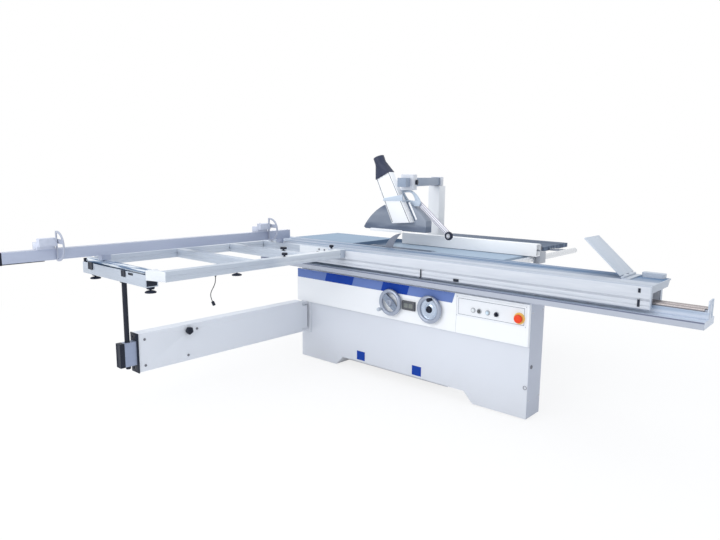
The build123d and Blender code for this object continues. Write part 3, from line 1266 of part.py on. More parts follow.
def link(start, end, half, y0, y1):
    """Flat bar with round ends between two (x, z) points."""
    dx, dz = end[0] - start[0], end[1] - start[1]
    length = math.hypot(dx, dz)
    ox, oz = -dz / length * half, dx / length * half
    outline = [(start[0] + ox, start[1] + oz), (end[0] + ox, end[1] + oz),
               (end[0] - ox, end[1] - oz), (start[0] - ox, start[1] - oz)]
    bar = prism_y(outline, y0, y1)
    return bar + rod_y(start[0], y0, y1, start[1], half) + rod_y(end[0], y0, y1, end[1], half)


def hanger_face():
    """Side outline of the hanger: a saddle on the crown that rises into an open loop."""
    top = HEAD_Z0 - RUN_GAP
    pivot_x, pivot_z = STRUT_PIVOT
    end = (pivot_x + 14, pivot_z + 8)
    edge = Polyline((pivot_x + 6, pivot_z - 14), (-70, HOOD_Z0 + 150), (-70, HOOD_Z0 + 206), (12, top - 28),
                    (30, top), (LIFT_X + 20, top))
    edge += ThreePointArc((LIFT_X + 20, top), (LIFT_X + 77, top - 30), end)
    edge += Line(end, (pivot_x + 6, pivot_z - 14))
    window_z = HOOD_Z0 + 224
    low, high = (LIFT_X + 71, window_z - 8), (LIFT_X + 23, top - 15)
    window = Polyline(low, (LIFT_X + 5, window_z), (60, top - 19), high)
    window += ThreePointArc(high, (LIFT_X + 58, top - 38), low)
    return make_face(edge) - make_face(window)


def guard_hanger():
    """Looped bracket on the hood with a strap around the duct, the lift rod and the strut's pin."""
    half = HANGER_HALF
    shape = extrude(Plane.XZ * hanger_face(), amount=half, both=True) - hood_solid(0, HOOD_HALF)
    shape += rod_z(LIFT_X, 0, HEAD_Z0 - RUN_GAP - 5, HEAD_Z0 + HEAD_HEIGHT - 1, LIFT_RADIUS)
    shape += rod_y(STRUT_PIVOT[0], half - 1, half + RUN_GAP + STRUT_THICK, STRUT_PIVOT[1], STRUT_PIN)
    strap_y, strap_x = DUCT_NEAR_Y - STRAP_THICK, LIFT_X + 22
    low, high = HOOD_Z0 + 214, HOOD_Z0 + 262
    strap = [(-58, low), (strap_x, low + 4), (strap_x, high), (-50, low + 18)]
    shape += prism_y(strap, strap_y, DUCT_NEAR_Y)
    return shape + block(strap_x - STRAP_THICK, strap_x, DUCT_NEAR_Y - 1, -half + 1, low, low + STRAP_THICK)


def guard_strut():
    """Strut from the hanger to the riding wheel, with the wheel's axle."""
    y0 = HANGER_HALF + RUN_GAP
    y1 = y0 + STRUT_THICK
    shape = link(STRUT_PIVOT, RIDER_CENTRE, STRUT_HALF, y0, y1)
    shape -= rod_y(STRUT_PIVOT[0], y0 - 1, y1 + 1, STRUT_PIVOT[1], STRUT_PIN + FIT)
    return shape + rod_y(RIDER_CENTRE[0], -RIDER_WIDTH + y0 - 2, y0 + 1, RIDER_CENTRE[1], STRUT_PIN)


def riding_wheel():
    """Small wheel at the end of the strut."""
    y1 = 8
    wheel = rod_y(RIDER_CENTRE[0], y1 - RIDER_WIDTH, y1, RIDER_CENTRE[1], RIDER_RADIUS)
    return wheel - rod_y(RIDER_CENTRE[0], y1 - RIDER_WIDTH - 1, y1 + 1, RIDER_CENTRE[1], STRUT_PIN + FIT)


# Saw unit
def toothed_disc(x, z, radius, thick, teeth, depth, bore):
    """Round saw blade with pointed teeth, in the plane of the cut."""
    step = 2 * math.pi / teeth
    outline = []
    for i in range(teeth):
        for turn, r in ((0, radius), (0.35, radius - depth)):
            angle = step * (i + turn)
            outline.append((x + r * math.cos(angle), z + r * math.sin(angle)))
    disc = prism_y(outline, -thick / 2, thick / 2)
    return disc - rod_y(x, -thick, thick, z, bore)


def main_blade():
    """Main blade at its lowest height."""
    return toothed_disc(0, ARBOR_Z, BLADE_RADIUS, BLADE_THICK, 54, 8, ARBOR_RADIUS + FIT)


def blade_arbor():
    """Arbor with the inner flange and the driven pulley."""
    shape = rod_y(0, -BLADE_THICK / 2 - FLANGE_THICK - 5, PULLEY_Y1 + 4, ARBOR_Z, ARBOR_RADIUS)
    shape += rod_y(0, BLADE_THICK / 2, BLADE_THICK / 2 + FLANGE_THICK, ARBOR_Z, FLANGE_RADIUS)
    return shape + rod_y(0, PULLEY_Y0, PULLEY_Y1, ARBOR_Z, ARBOR_PULLEY)


def blade_flange():
    """Outer clamping flange of the main blade."""
    y1 = -BLADE_THICK / 2
    flange = rod_y(0, y1 - FLANGE_THICK, y1, ARBOR_Z, FLANGE_RADIUS)
    return flange - rod_y(0, y1 - FLANGE_THICK - 1, y1 + 1, ARBOR_Z, ARBOR_RADIUS + FIT)


def arbor_housing():
    """Bearing housing on the guide rods, joined to the motor plate by two webs."""
    z0, z1 = ARBOR_Z - 35, ARBOR_Z + 35
    shape = block(-HOUSING_HALF, HOUSING_HALF, HOUSING_Y0, HOUSING_Y1, z0, z1)
    for x in (-70, 70):
        shape += block(x - 8, x + 8, HOUSING_Y1 - 1, PLATE_Y + 1, z0 + 5, z1 - 5)
    shape += block(-80, 80, PLATE_Y, PLATE_Y + PLATE_THICK, MOTOR_Z - 85, z1)
    shape -= rod_y(0, HOUSING_Y0 - 1, HOUSING_Y1 + 1, ARBOR_Z, ARBOR_RADIUS + FIT)
    shape -= rod_y(0, PLATE_Y - 1, PLATE_Y + PLATE_THICK + 1, ARBOR_Z, ARBOR_RADIUS + 8)
    shape -= rod_y(0, PLATE_Y - 1, PLATE_Y + PLATE_THICK + 1, MOTOR_Z, ARBOR_RADIUS + FIT)
    for x in (-RISE_ROD_X, RISE_ROD_X):
        shape -= rod_z(x, RISE_ROD_Y, z0 - 1, z1 + 1, RISE_ROD_RADIUS + FIT)
    return shape


def motor():
    """Motor on the back of its plate, with cooling ribs."""
    y0 = PLATE_Y + PLATE_THICK
    shape = rod_y(0, y0, y0 + 200, MOTOR_Z, MOTOR_RADIUS - 4)
    for i in range(8):
        shape += rod_y(0, y0 + 14 + 22 * i, y0 + 22 + 22 * i, MOTOR_Z, MOTOR_RADIUS)
    return shape


def motor_pulley():
    """Driving pulley on the motor shaft."""
    shape = rod_y(0, PULLEY_Y0, PULLEY_Y1, MOTOR_Z, MOTOR_PULLEY)
    return shape + rod_y(0, PULLEY_Y1 - 1, PLATE_Y + PLATE_THICK - RUN_GAP, MOTOR_Z, ARBOR_RADIUS)


def belt_loop(grow):
    """Filled outline of the belt around both pulleys."""
    y0, y1 = PULLEY_Y0 + 4 - grow, PULLEY_Y1 - 4 + grow
    top, low = ARBOR_PULLEY + SLIDE_GAP, MOTOR_PULLEY + SLIDE_GAP
    if not grow:
        top, low = top + BELT_THICK, low + BELT_THICK
    outline = [(-top, ARBOR_Z), (top, ARBOR_Z), (low, MOTOR_Z), (-low, MOTOR_Z)]
    return prism_y(outline, y0, y1) + rod_y(0, y0, y1, ARBOR_Z, top) + rod_y(0, y0, y1, MOTOR_Z, low)


def drive_belt():
    """Flat belt between the pulleys."""
    return belt_loop(0) - belt_loop(1)


def knife_point(radius, degrees):
    """Point around the arbor at an angle from +X."""
    turn = math.radians(degrees)
    return radius * math.cos(turn), ARBOR_Z + radius * math.sin(turn)


def riving_knife():
    """Thin curved knife behind the blade, with a fin that stands above the table."""
    inner, outer = BLADE_RADIUS + KNIFE_GAP, BLADE_RADIUS + KNIFE_GAP + KNIFE_WIDTH
    half = KNIFE_HALF
    ring = rod_y(0, -half, half, ARBOR_Z, outer) - rod_y(0, -half - 1, half + 1, ARBOR_Z, inner)
    foot_x = knife_point(inner, FIN_FRONT_ANGLE)[0]
    knife = ring & block(-outer - 1, foot_x, -half - 1, half + 1, ARBOR_Z, ARBOR_Z + outer)
    knife += block(-outer, -inner, -half, half, ARBOR_Z - HOLDER_DROP, ARBOR_Z)
    crest = ARBOR_Z + BLADE_RADIUS
    rear, front = knife_point(outer - 3, FIN_REAR_ANGLE), knife_point(inner + 2, FIN_FRONT_ANGLE)
    tip = (FIN_TIP_X, crest + FIN_HEIGHT)
    edges = ThreePointArc(rear, (-70, crest + FIN_HEIGHT / 2), tip)
    edges += ThreePointArc(tip, (0, crest + 0.59 * FIN_HEIGHT), front) + Line(front, rear)
    return knife + extrude(Plane.XZ * make_face(edges), amount=half, both=True)


def knife_holder():
    """Holder between the knife and the bearing housing."""
    inner = -BLADE_RADIUS - KNIFE_GAP
    outer = inner - KNIFE_WIDTH
    outline = [(outer, KNIFE_HALF), (inner, KNIFE_HALF), (inner, HOUSING_Y0), (-HOUSING_HALF, HOUSING_Y0),
               (-HOUSING_HALF, 40), (outer, 40)]
    return prism_z(outline, ARBOR_Z - HOLDER_DROP, ARBOR_Z - 4)


def tilt_frame():
    """Tilting frame of welded plates: two trunnion segments, a cross plate and seats for the guide rods."""
    z0, z1 = TABLE_Z - 210, TABLE_Z - 60
    near, far_side = CROSS_PLATE_Y, CROSS_PLATE_Y + CROSS_PLATE_THICK
    half = TRUNNION_THICK / 2
    plates = [block(TRUNNION_X[0] + half, TRUNNION_X[1] - half, near, far_side, z0, z1)]
    a0, a1 = math.radians(10), math.radians(70)
    far = 2 * TRUNNION_RADIUS
    wedge = [(0, TABLE_Z), (far * math.sin(a0), TABLE_Z - far * math.cos(a0)),
             (far * math.sin(a1), TABLE_Z - far * math.cos(a1))]
    for x in TRUNNION_X:
        ring = rod_x(x - half, x + half, 0, TABLE_Z, TRUNNION_RADIUS)
        ring -= rod_x(x - half - 1, x + half + 1, 0, TABLE_Z, TRUNNION_RADIUS - TRUNNION_DEPTH)
        plates.append(ring & prism_x(wedge, x - half, x + half))
    for x in (-RISE_ROD_X, RISE_ROD_X):
        x0, x1 = x - SEAT_WIDTH / 2, x + SEAT_WIDTH / 2
        plates.append(block(x0, x1, RISE_ROD_Y - 18, far_side, RISE_SEAT_Z - SEAT_THICK, RISE_SEAT_Z))
        plates.append(block(x0, x1, near, far_side, RISE_SEAT_Z, z0))
    return plates


def rise_rods():
    """Two upright guide rods on the tilting frame."""
    top = TABLE_Z - 52
    return [rod_z(x, RISE_ROD_Y, RISE_SEAT_Z, top, RISE_ROD_RADIUS) for x in (-RISE_ROD_X, RISE_ROD_X)]


def trunnion_brackets():
    """Fixed cradles whose curved tops carry the trunnion segments."""
    cradles = []
    for x in TRUNNION_X:
        x0, x1 = x - TRUNNION_THICK / 2, x + TRUNNION_THICK / 2
        post = block(x0, x1, 55, 122, BASE_WALL, TABLE_Z - TRUNNION_RADIUS + 40)
        cradles.append(post - rod_x(x0 - 1, x1 + 1, 0, TABLE_Z, TRUNNION_RADIUS + SLIDE_GAP))
    return cradles


def scoring_housing():
    """Bearing block of the scoring spindle on the cross plate."""
    shape = block(SCORING_X - 20, SCORING_X + 20, 15, CROSS_PLATE_Y, SCORING_Z - 18, SCORING_Z + 18)
    return shape - rod_y(SCORING_X, 14, 120, SCORING_Z, SCORING_SPINDLE + FIT)


def scoring_blade():
    """Small scoring blade ahead of the main blade."""
    return toothed_disc(SCORING_X, SCORING_Z, SCORING_RADIUS, BLADE_THICK, 24, 4, SCORING_SPINDLE + FIT)


def scoring_spindle():
    """Spindle of the scoring blade with its flange."""
    shape = rod_y(SCORING_X, -10, 110, SCORING_Z, SCORING_SPINDLE)
    return shape + rod_y(SCORING_X, BLADE_THICK / 2, 8, SCORING_Z, 20)


# Lead
def lead_points():
    """Corner points of the lead, from its gland down to the connector."""
    points = [LEAD_START]
    for step in LEAD_STEPS:
        points.append(tuple(a + b for a, b in zip(points[-1], step)))
    return points


def lead_radii(points):
    """Largest bend at each corner that its two runs leave room for."""
    radii = []
    for a, b, c in zip(points, points[1:], points[2:]):
        before, after = Vector(*b) - Vector(*a), Vector(*c) - Vector(*b)
        turn = math.radians(before.get_angle(after))
        radii.append(0.45 * min(before.length, after.length) / math.tan(turn / 2))
    return radii


def lead_cord():
    """Thin hanging lead."""
    points = lead_points()
    radii = lead_radii(points)
    print("lead radii", [round(r, 1) for r in radii])
    path = FilletPolyline(*points, radius=radii)
    return sweep(Plane(path @ 0, z_dir=path % 0) * Circle(LEAD_RADIUS), path=path)


def lead_fittings():
    """Gland under the bar and the connector at the lead's lower end."""
    x, y, z = LEAD_START
    gland = rod_z(x, y, z, z + LEAD_GLAND, 2.6 * LEAD_RADIUS)
    before, end = (Vector(*p) for p in lead_points()[-2:])
    plug = Plane(end, z_dir=end - before) * Pos(0, 0, 13) * Box(12, 15, 26)
    return [gland, plug]


PARTS = {
    "base_box": base_box(),
    "levelling_pads": levelling_pads(),
    "rear_cabinet": rear_cabinet() + [service_panel()] + panel_locks() + trunnion_brackets(),
    "dust_outlet": dust_outlet(),
    "fascia": fascia(),
    "light_blue_plates": stripe(0),
    "dark_blue_plates": stripe(1) + fork_markers(),
    "control_panel": [control_panel(), indicator_lens(), estop_collar()] + button_bezels(),
    "start_button": push_button(START_X),
    "stop_button": push_button(STOP_X),
    "selector_knob": selector_knob(),
    "estop_button": estop_button(),
    "readout": [readout_housing(), readout_screen()],
    "raise_handwheel": [raise_handwheel(), wheel_grip(RAISE_WHEEL_X, -130)],
    "tilt_handwheel": [tilt_handwheel(), wheel_grip(TILT_WHEEL_X, 20)],
    "rail": [rail()] + rail_spacers() + rail_end_plates(),
    "guide_rods": guide_rods(),
    "carriage": carriage(),
    "carriage_fittings": carriage_end_caps() + [push_hinge(), lock_block()],
    "roller_cage": roller_cage(),
    "push_plate": push_plate(),
    "outrigger_bars": frame_side_bars() + frame_cross_bars() + [frame_inner_bar(), frame_corner()],
    "outer_beam": [outer_beam()] + roller_brackets(),
    "frame_roller": frame_roller(),
    "frame_feet": frame_feet(),
    "frame_knobs": frame_knobs() + [fence_pivot()],
    "lead_cord": lead_cord(),
    "lead_fittings": lead_fittings(),
    "arm_bracket": arm_bracket(),
    "swing_arm": swing_arm(),
    "arm_end_frame": [arm_end_frame(), arm_lock_boss()] + arm_screws(),
    "arm_lock_knob": arm_lock_knob(),
    "inner_tube": inner_tube(),
    "support_post": [support_post(), tube_end_cap()],
    "crosscut_fence": crosscut_fence(),
    "fence_extension": [fence_extension(), extension_cap()],
    "outer_stop": stop_slider(OUTER_STOP_Y),
    "outer_flag": stop_flag(OUTER_STOP_Y),
    "inner_stop": stop_slider(INNER_STOP_Y),
    "inner_flag": stop_flag(INNER_STOP_Y),
    "table_main": table_main(),
    "table_insert": table_insert(),
    "table_extensions": [table_outfeed(), table_side()] + table_struts(),
    "guide_bar": [guide_bar()] + bar_brackets(),
    "rip_carrier": rip_carrier(),
    "rip_lock_knob": rip_lock_knob(),
    "rip_fence": rip_fence(),
    "column": column() + [column_head()],
    "boom": [boom(), boom_head(), boom_nose(), boom_knob()],
    "guard_hood": guard_hood(),
    "guard_duct": [guard_duct(), hose_adapter()],
    "guard_hanger": guard_hanger(),
    "guard_strut": guard_strut(),
    "riding_wheel": riding_wheel(),
    "main_blade": [main_blade(), blade_arbor(), blade_flange()],
    "arbor_housing": [arbor_housing(), knife_holder(), riving_knife()],
    "motor": [motor(), drive_belt()],
    "motor_pulley": motor_pulley(),
    "tilt_frame": tilt_frame() + [scoring_housing()] + rise_rods(),
    "scoring_blade": [scoring_blade(), scoring_spindle()],
}

for node, solids in PARTS.items():
    save(node, solids)
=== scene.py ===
import math

import bpy
from mathutils import Matrix, Vector


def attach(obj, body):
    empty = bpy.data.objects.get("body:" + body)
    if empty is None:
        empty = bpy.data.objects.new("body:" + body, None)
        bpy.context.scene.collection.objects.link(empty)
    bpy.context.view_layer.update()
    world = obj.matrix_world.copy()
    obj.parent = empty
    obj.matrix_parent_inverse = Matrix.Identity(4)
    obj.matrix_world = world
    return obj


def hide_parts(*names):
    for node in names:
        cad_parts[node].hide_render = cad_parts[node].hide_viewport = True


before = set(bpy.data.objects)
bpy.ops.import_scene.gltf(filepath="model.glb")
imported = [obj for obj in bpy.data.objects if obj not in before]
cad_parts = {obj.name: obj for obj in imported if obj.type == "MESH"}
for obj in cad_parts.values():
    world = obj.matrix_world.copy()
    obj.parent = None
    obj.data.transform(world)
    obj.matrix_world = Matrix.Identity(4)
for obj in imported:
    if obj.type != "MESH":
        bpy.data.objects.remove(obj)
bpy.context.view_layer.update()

# The camera stands at chest height off the operator's corner of the machine.
# Its place and angles were found from the straight edges of the base, rail and fence.
CAMERA_PLACE = (2.729, -3.4816, 1.4284)
SENSOR_WIDTH, FOCAL_LENGTH, SIGHT = 36.0, 30.23, 60.0
camera_data = bpy.data.cameras.new("photo_camera")
camera_data.sensor_width = SENSOR_WIDTH
camera_data.lens = FOCAL_LENGTH
camera_data.clip_end = SIGHT
camera = bpy.data.objects.new("photo_camera", camera_data)
bpy.context.scene.collection.objects.link(camera)
bpy.context.scene.camera = camera
yaw, pitch, roll = math.radians(-41.51), math.radians(8.97), math.radians(-0.56)
level_ahead = Vector((math.sin(yaw), math.cos(yaw), 0.0))
level_right = Vector((math.cos(yaw), -math.sin(yaw), 0.0))
sky = Vector((0.0, 0.0, 1.0))
ahead = level_ahead * math.cos(pitch) - sky * math.sin(pitch)
level_down = -(sky * math.cos(pitch) + level_ahead * math.sin(pitch))
right = level_right * math.cos(roll) + level_down * math.sin(roll)
down = level_down * math.cos(roll) - level_right * math.sin(roll)
turn = Matrix((right, -down, -ahead)).transposed().to_4x4()
camera.matrix_world = Matrix.Translation(CAMERA_PLACE) @ turn


# The front base is one long box folded and welded from 4 mm sheet, with a fork notch below.
# It is powder coated in a cool off-white and open behind, where the saw unit hangs in it.
class Socket:
    """A shader value that Python expressions can be written on."""

    def __init__(self, tree, out):
        self.tree = tree
        self.out = out

    def math(self, operation, a, b):
        node = self.tree.nodes.new("ShaderNodeMath")
        node.operation = operation
        for place, value in enumerate((a, b)):
            if isinstance(value, Socket):
                self.tree.links.new(value.out, node.inputs[place])
            else:
                node.inputs[place].default_value = value
        return Socket(self.tree, node.outputs[0])

    def __add__(self, other):
        return self.math("ADD", self, other)

    def __radd__(self, other):
        return self.math("ADD", other, self)

    def __sub__(self, other):
        return self.math("SUBTRACT", self, other)

    def __rsub__(self, other):
        return self.math("SUBTRACT", other, self)

    def __mul__(self, other):
        return self.math("MULTIPLY", self, other)

    def __rmul__(self, other):
        return self.math("MULTIPLY", other, self)

    def __gt__(self, other):
        return self.math("GREATER_THAN", self, other)

    def __lt__(self, other):
        return self.math("LESS_THAN", self, other)


class Nodes:
    """A node tree, with one way of adding a node to it."""

    def __init__(self, tree):
        self.tree = tree

    def node(self, kind, settings, sockets, out=0):
        node = self.tree.nodes.new(kind)
        for name, value in settings.items():
            setattr(node, name, value)
        for name, value in sockets.items():
            if isinstance(value, Socket):
                self.tree.links.new(value.out, node.inputs[name])
            else:
                node.inputs[name].default_value = value
        return Socket(self.tree, node.outputs[out])


class Finish(Nodes):
    """A surface finish: one material, built from nodes around its Principled shader."""

    def __init__(self, name, **fixed):
        self.material = bpy.data.materials.new(name)
        self.material.use_nodes = True
        super().__init__(self.material.node_tree)
        self.shader = self.tree.nodes["Principled BSDF"]
        for socket, value in fixed.items():
            self.shader.inputs[socket.replace("_", " ")].default_value = value
        self.spot = self.node("ShaderNodeTexCoord", {}, {}, "Object")

    def noise(self, stretch, detail=3.0, shift=(0.0, 0.0, 0.0)):
        sockets = {"Vector": self.spot, "Scale": stretch, "Location": shift}
        spot = self.node("ShaderNodeMapping", {}, sockets)
        return self.node("ShaderNodeTexNoise", {}, {"Vector": spot, "Scale": 1.0, "Detail": detail}, "Fac")

    def axis(self, letter):
        return self.node("ShaderNodeSeparateXYZ", {}, {"Vector": self.spot}, letter)

    def between(self, value, low, high, start=0.0, end=1.0):
        sockets = {"Value": value, "From Min": low, "From Max": high, "To Min": start, "To Max": end}
        return self.node("ShaderNodeMapRange", {"interpolation_type": "SMOOTHSTEP"}, sockets)

    def mix(self, first, second, share):
        return self.node("ShaderNodeMix", {"data_type": "RGBA"}, {0: share, 6: first, 7: second}, 2)

    def feed(self, sockets):
        for name, value in sockets.items():
            self.tree.links.new(value.out, self.shader.inputs[name])

    def bump(self, height, depth):
        sockets = {"Height": height, "Distance": depth, "Strength": 1.0}
        self.feed({"Normal": self.node("ShaderNodeBump", {}, sockets)})


def rgb(red, green, blue, change=1.0):
    """A colour, made lighter or darker by a change."""
    return (min(red * change, 1.0), min(green * change, 1.0), min(blue * change, 1.0), 1.0)


def powder_coat(name, colour, rough=0.42, peel=0.00012, gloss=0.35):
    """Powder coat: a fine orange peel, slow changes of tone, and floor dust low down."""
    coat = Finish(name, Specular_IOR_Level=gloss)
    tone = coat.noise((1.3, 1.3, 1.8), 4.0)
    cloud = coat.noise((9.0, 9.0, 5.0), 5.0, (3.0, 1.0, 2.0))
    low = coat.between(coat.axis("Z"), 0.02, 0.30, 1.0, 0.0)
    fresh = coat.mix(rgb(*colour, 0.965), rgb(*colour, 1.02), tone)
    dusty = rgb(colour[0] * 0.86, colour[1] * 0.84, colour[2] * 0.80)
    coat.feed({"Base Color": coat.mix(fresh, dusty, low * cloud * 0.45)})
    coat.feed({"Roughness": rough + 0.10 * (cloud - 0.5) + 0.08 * low})
    coat.bump(coat.noise((520.0, 520.0, 520.0), 2.0), peel)
    return coat


TO_RIGHT, TO_BACK = (1.0, 0.0, 0.0), (0.0, 1.0, 0.0)
FACE_ON = 0.9
TOUCHING = 0.00001


def only(*pieces):
    """Select these pieces and nothing else, the first of them active."""
    bpy.ops.object.select_all(action="DESELECT")
    for piece in pieces:
        piece.select_set(True)
    bpy.context.view_layer.objects.active = pieces[0]


def done():
    """Close a piece that was opened for editing."""
    bpy.ops.object.mode_set(mode="OBJECT")


def traced(name, spots):
    """A line from spot to spot, left open for editing with all of it selected."""
    bpy.ops.object.select_all(action="DESELECT")
    bpy.ops.mesh.primitive_plane_add(size=0.01, location=spots[0])
    piece = bpy.context.object
    piece.name = name
    bpy.ops.object.transform_apply(location=True, rotation=True, scale=True)
    bpy.ops.object.mode_set(mode="EDIT")
    bpy.ops.mesh.select_mode(type="VERT")
    bpy.ops.mesh.select_all(action="SELECT")
    bpy.ops.mesh.merge(type="CENTER")
    for here, there in zip(spots, spots[1:]):
        bpy.ops.mesh.extrude_region_move(TRANSFORM_OT_translate={"value": there - here})
    bpy.ops.mesh.select_all(action="SELECT")
    return piece


def drawn(name, points, push):
    """A flat outline through the points, filled and pushed out along a line."""
    piece = traced(name, [Vector(point) for point in points])
    bpy.ops.mesh.edge_face_add()
    bpy.ops.mesh.select_all(action="SELECT")
    bpy.ops.mesh.extrude_region_move(TRANSFORM_OT_translate={"value": push})
    bpy.ops.mesh.select_all(action="SELECT")
    bpy.ops.mesh.normals_make_consistent(inside=False)
    done()
    return piece


def pick(piece, test):
    """Open a piece for editing with the faces selected whose middle and normal pass a test."""
    only(piece)
    bpy.ops.object.mode_set(mode="EDIT")
    bpy.ops.mesh.select_mode(type="FACE")
    bpy.ops.mesh.select_all(action="DESELECT")
    done()
    for face in piece.data.polygons:
        face.select = test(face.center, face.normal)
    bpy.ops.object.mode_set(mode="EDIT")


def score(piece, test, place, line):
    """Divide the faces that pass a test along a plane."""
    pick(piece, test)
    bpy.ops.mesh.bisect(plane_co=place, plane_no=line)
    done()


def open_up(piece, test):
    """Take out the faces that pass a test."""
    pick(piece, test)
    bpy.ops.mesh.delete(type="FACE")
    done()


def wall(piece, thickness):
    """Give an open sheet its wall, inwards."""
    only(piece)
    sheet = piece.modifiers.new("wall", "SOLIDIFY")
    sheet.thickness = thickness
    sheet.offset = -1.0
    sheet.use_even_offset = True
    bpy.ops.object.modifier_apply(modifier=sheet.name)


def round_off(piece, edge, angle=34.0, steps=2):
    """Break the hard edges of a piece and shade what is left smooth."""
    only(piece)
    if edge:
        bevel = piece.modifiers.new("broken_edges", "BEVEL")
        bevel.width = edge
        bevel.segments = steps
        bevel.limit_method = "ANGLE"
        bevel.angle_limit = math.radians(angle)
        bpy.ops.object.modifier_apply(modifier=bevel.name)
        bpy.ops.object.mode_set(mode="EDIT")
        bpy.ops.mesh.select_all(action="SELECT")
        bpy.ops.mesh.remove_doubles(threshold=TOUCHING)
        bpy.ops.mesh.dissolve_degenerate(threshold=TOUCHING)
        done()
    bpy.ops.object.shade_smooth_by_angle(angle=math.radians(angle))
    return piece


def settle(piece, finish, body, slot, *nodes):
    """Give a piece its finish and its place in the frame."""
    piece.data.materials.clear()
    piece.data.materials.append(finish.material)
    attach(piece, body)
    if nodes:
        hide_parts(*nodes)
    return piece


BASE_LEFT, BASE_RIGHT, BASE_FRONT, BASE_BACK, BASE_TOP = -0.700, 1.220, -0.289, -0.118, 0.720
FOOT_LINE, NOTCH_LINE, ROOF_LINE = 0.008, 0.077, 0.700
MOUTH_LEFT, MOUTH_RIGHT, MOUTH_FRONT = -0.330, 0.420, -0.200
BAY_LEFT, BAY_RIGHT = -0.402, 0.552
BASE_SHEET = 0.004


def roof(c, n):
    """Faces of the base's top."""
    return n.z > FACE_ON and c.z > ROOF_LINE


def rear_roof(c, n):
    """Faces of the base's top behind the front of its mouth."""
    return roof(c, n) and c.y > MOUTH_FRONT


def rear_wall(c, n):
    """Faces of the base's back."""
    return n.y > FACE_ON


base_white = powder_coat("base_white", (0.68, 0.703, 0.755))
outline = [
    (BASE_LEFT, FOOT_LINE), (-0.330, FOOT_LINE), (-0.262, NOTCH_LINE), (0.789, NOTCH_LINE),
    (0.857, FOOT_LINE), (BASE_RIGHT, FOOT_LINE), (BASE_RIGHT, BASE_TOP), (BASE_LEFT, BASE_TOP),
]
base = drawn("base_shell", [(x, BASE_FRONT, z) for x, z in outline], (0.0, BASE_BACK - BASE_FRONT, 0.0))
score(base, roof, (0.0, MOUTH_FRONT, 0.0), TO_BACK)
for mouth_edge in (MOUTH_LEFT, MOUTH_RIGHT):
    score(base, rear_roof, (mouth_edge, 0.0, 0.0), TO_RIGHT)
open_up(base, lambda c, n: rear_roof(c, n) and MOUTH_LEFT < c.x < MOUTH_RIGHT)
for bay_side in (BAY_LEFT, BAY_RIGHT):
    score(base, rear_wall, (bay_side, 0.0, 0.0), TO_RIGHT)
open_up(base, lambda c, n: rear_wall(c, n) and BAY_LEFT < c.x < BAY_RIGHT)
wall(base, BASE_SHEET)
settle(round_off(base, 0.0012), base_white, "base", "white_paint", "base_box")


# The base's operator end has a round lock and a hook ring, on a darker grey sheet of painted shade.
# Small steel screws with domed, socketed heads hold the covers here and further on.
# One is turned and copied to each place, and they move with the cover they hold.
def turned(name, centre, axis, profile, steps=32):
    """Spin a profile of (distance along the axis, radius) points into a turned piece."""
    line = Vector(axis).normalized()
    side = line.orthogonal().normalized()
    piece = traced(name, [Vector(centre) + line * along + side * radius for along, radius in profile])
    bpy.ops.mesh.spin(steps=steps, angle=2.0 * math.pi, center=centre, axis=line)
    bpy.ops.mesh.select_all(action="SELECT")
    bpy.ops.mesh.remove_doubles(threshold=2.0 * TOUCHING)
    bpy.ops.mesh.normals_make_consistent(inside=False)
    done()
    return piece


def round_wire(reach, thick, step):
    """The profile of a round wire that is bent into a ring."""
    angles = [math.radians(degrees) for degrees in range(0, 361, step)]
    return [(thick * math.sin(a), reach + thick * math.cos(a)) for a in angles]


def block(name, low, high):
    """A square block between two corners, as a start for shaping."""
    bpy.ops.object.select_all(action="DESELECT")
    middle = (Vector(low) + Vector(high)) / 2
    bpy.ops.mesh.primitive_cube_add(size=1.0, location=middle, scale=Vector(high) - Vector(low))
    piece = bpy.context.object
    piece.name = name
    bpy.ops.object.transform_apply(location=True, rotation=True, scale=True)
    return piece


def facing(way):
    """A test for the faces that look one way."""
    return lambda c, n: n.dot(Vector(way)) > FACE_ON


def pressed(piece, way, border, depth=0.0, sunk=None, raised=None):
    """Frame the faces that look one way, and sink or raise what is inside the frame."""
    pick(piece, facing(way))
    bpy.ops.mesh.inset(thickness=border, depth=depth)
    if sunk is not None:
        bpy.ops.mesh.extrude_region_move(TRANSFORM_OT_translate={"value": sunk})
    if raised is not None:
        bpy.ops.transform.translate(value=raised)
    done()
    return piece


def joined(name, pieces):
    """Several pieces of one finish made into one object."""
    only(*pieces)
    if len(pieces) > 1:
        bpy.ops.object.join()
    pieces[0].name = name
    return pieces[0]


def screws(name, places, axis, radius):
    """Socket screws with domed heads, one at each place, their heads along the axis."""
    head = [(-0.0004, 0.0), (-0.0004, radius), (0.35 * radius, radius), (0.62 * radius, 0.80 * radius),
            (0.70 * radius, 0.52 * radius), (0.70 * radius, 0.44 * radius), (0.25 * radius, 0.42 * radius),
            (0.20 * radius, 0.0)]
    first = turned(name, places[0], axis, head, 18)
    copies = [first]
    for place in places[1:]:
        copy = bpy.data.objects.new(name, first.data.copy())
        bpy.context.scene.collection.objects.link(copy)
        copy.data.transform(Matrix.Translation(Vector(place) - Vector(places[0])))
        copies.append(copy)
    return round_off(joined(name, copies), 0.0)


LINE_DEPTH = 0.00006


def anodised(name, colour, stretch, rough=0.30, metal=0.85, gloss=0.5):
    """Drawn, anodised or brushed metal: fine lines, with slow clouds of duller metal."""
    finish = Finish(name, Metallic=metal, Specular_IOR_Level=gloss)
    line = finish.noise(stretch, 3.0)
    cloud = finish.noise((3.0, 3.0, 3.0), 3.0, (1.0, 4.0, 2.0))
    finish.feed({"Base Color": finish.mix(rgb(*colour, 0.90), rgb(*colour, 1.06), line)})
    finish.feed({"Roughness": rough + 0.16 * (line - 0.5) + 0.10 * (cloud - 0.5)})
    finish.bump(line, LINE_DEPTH)
    return finish


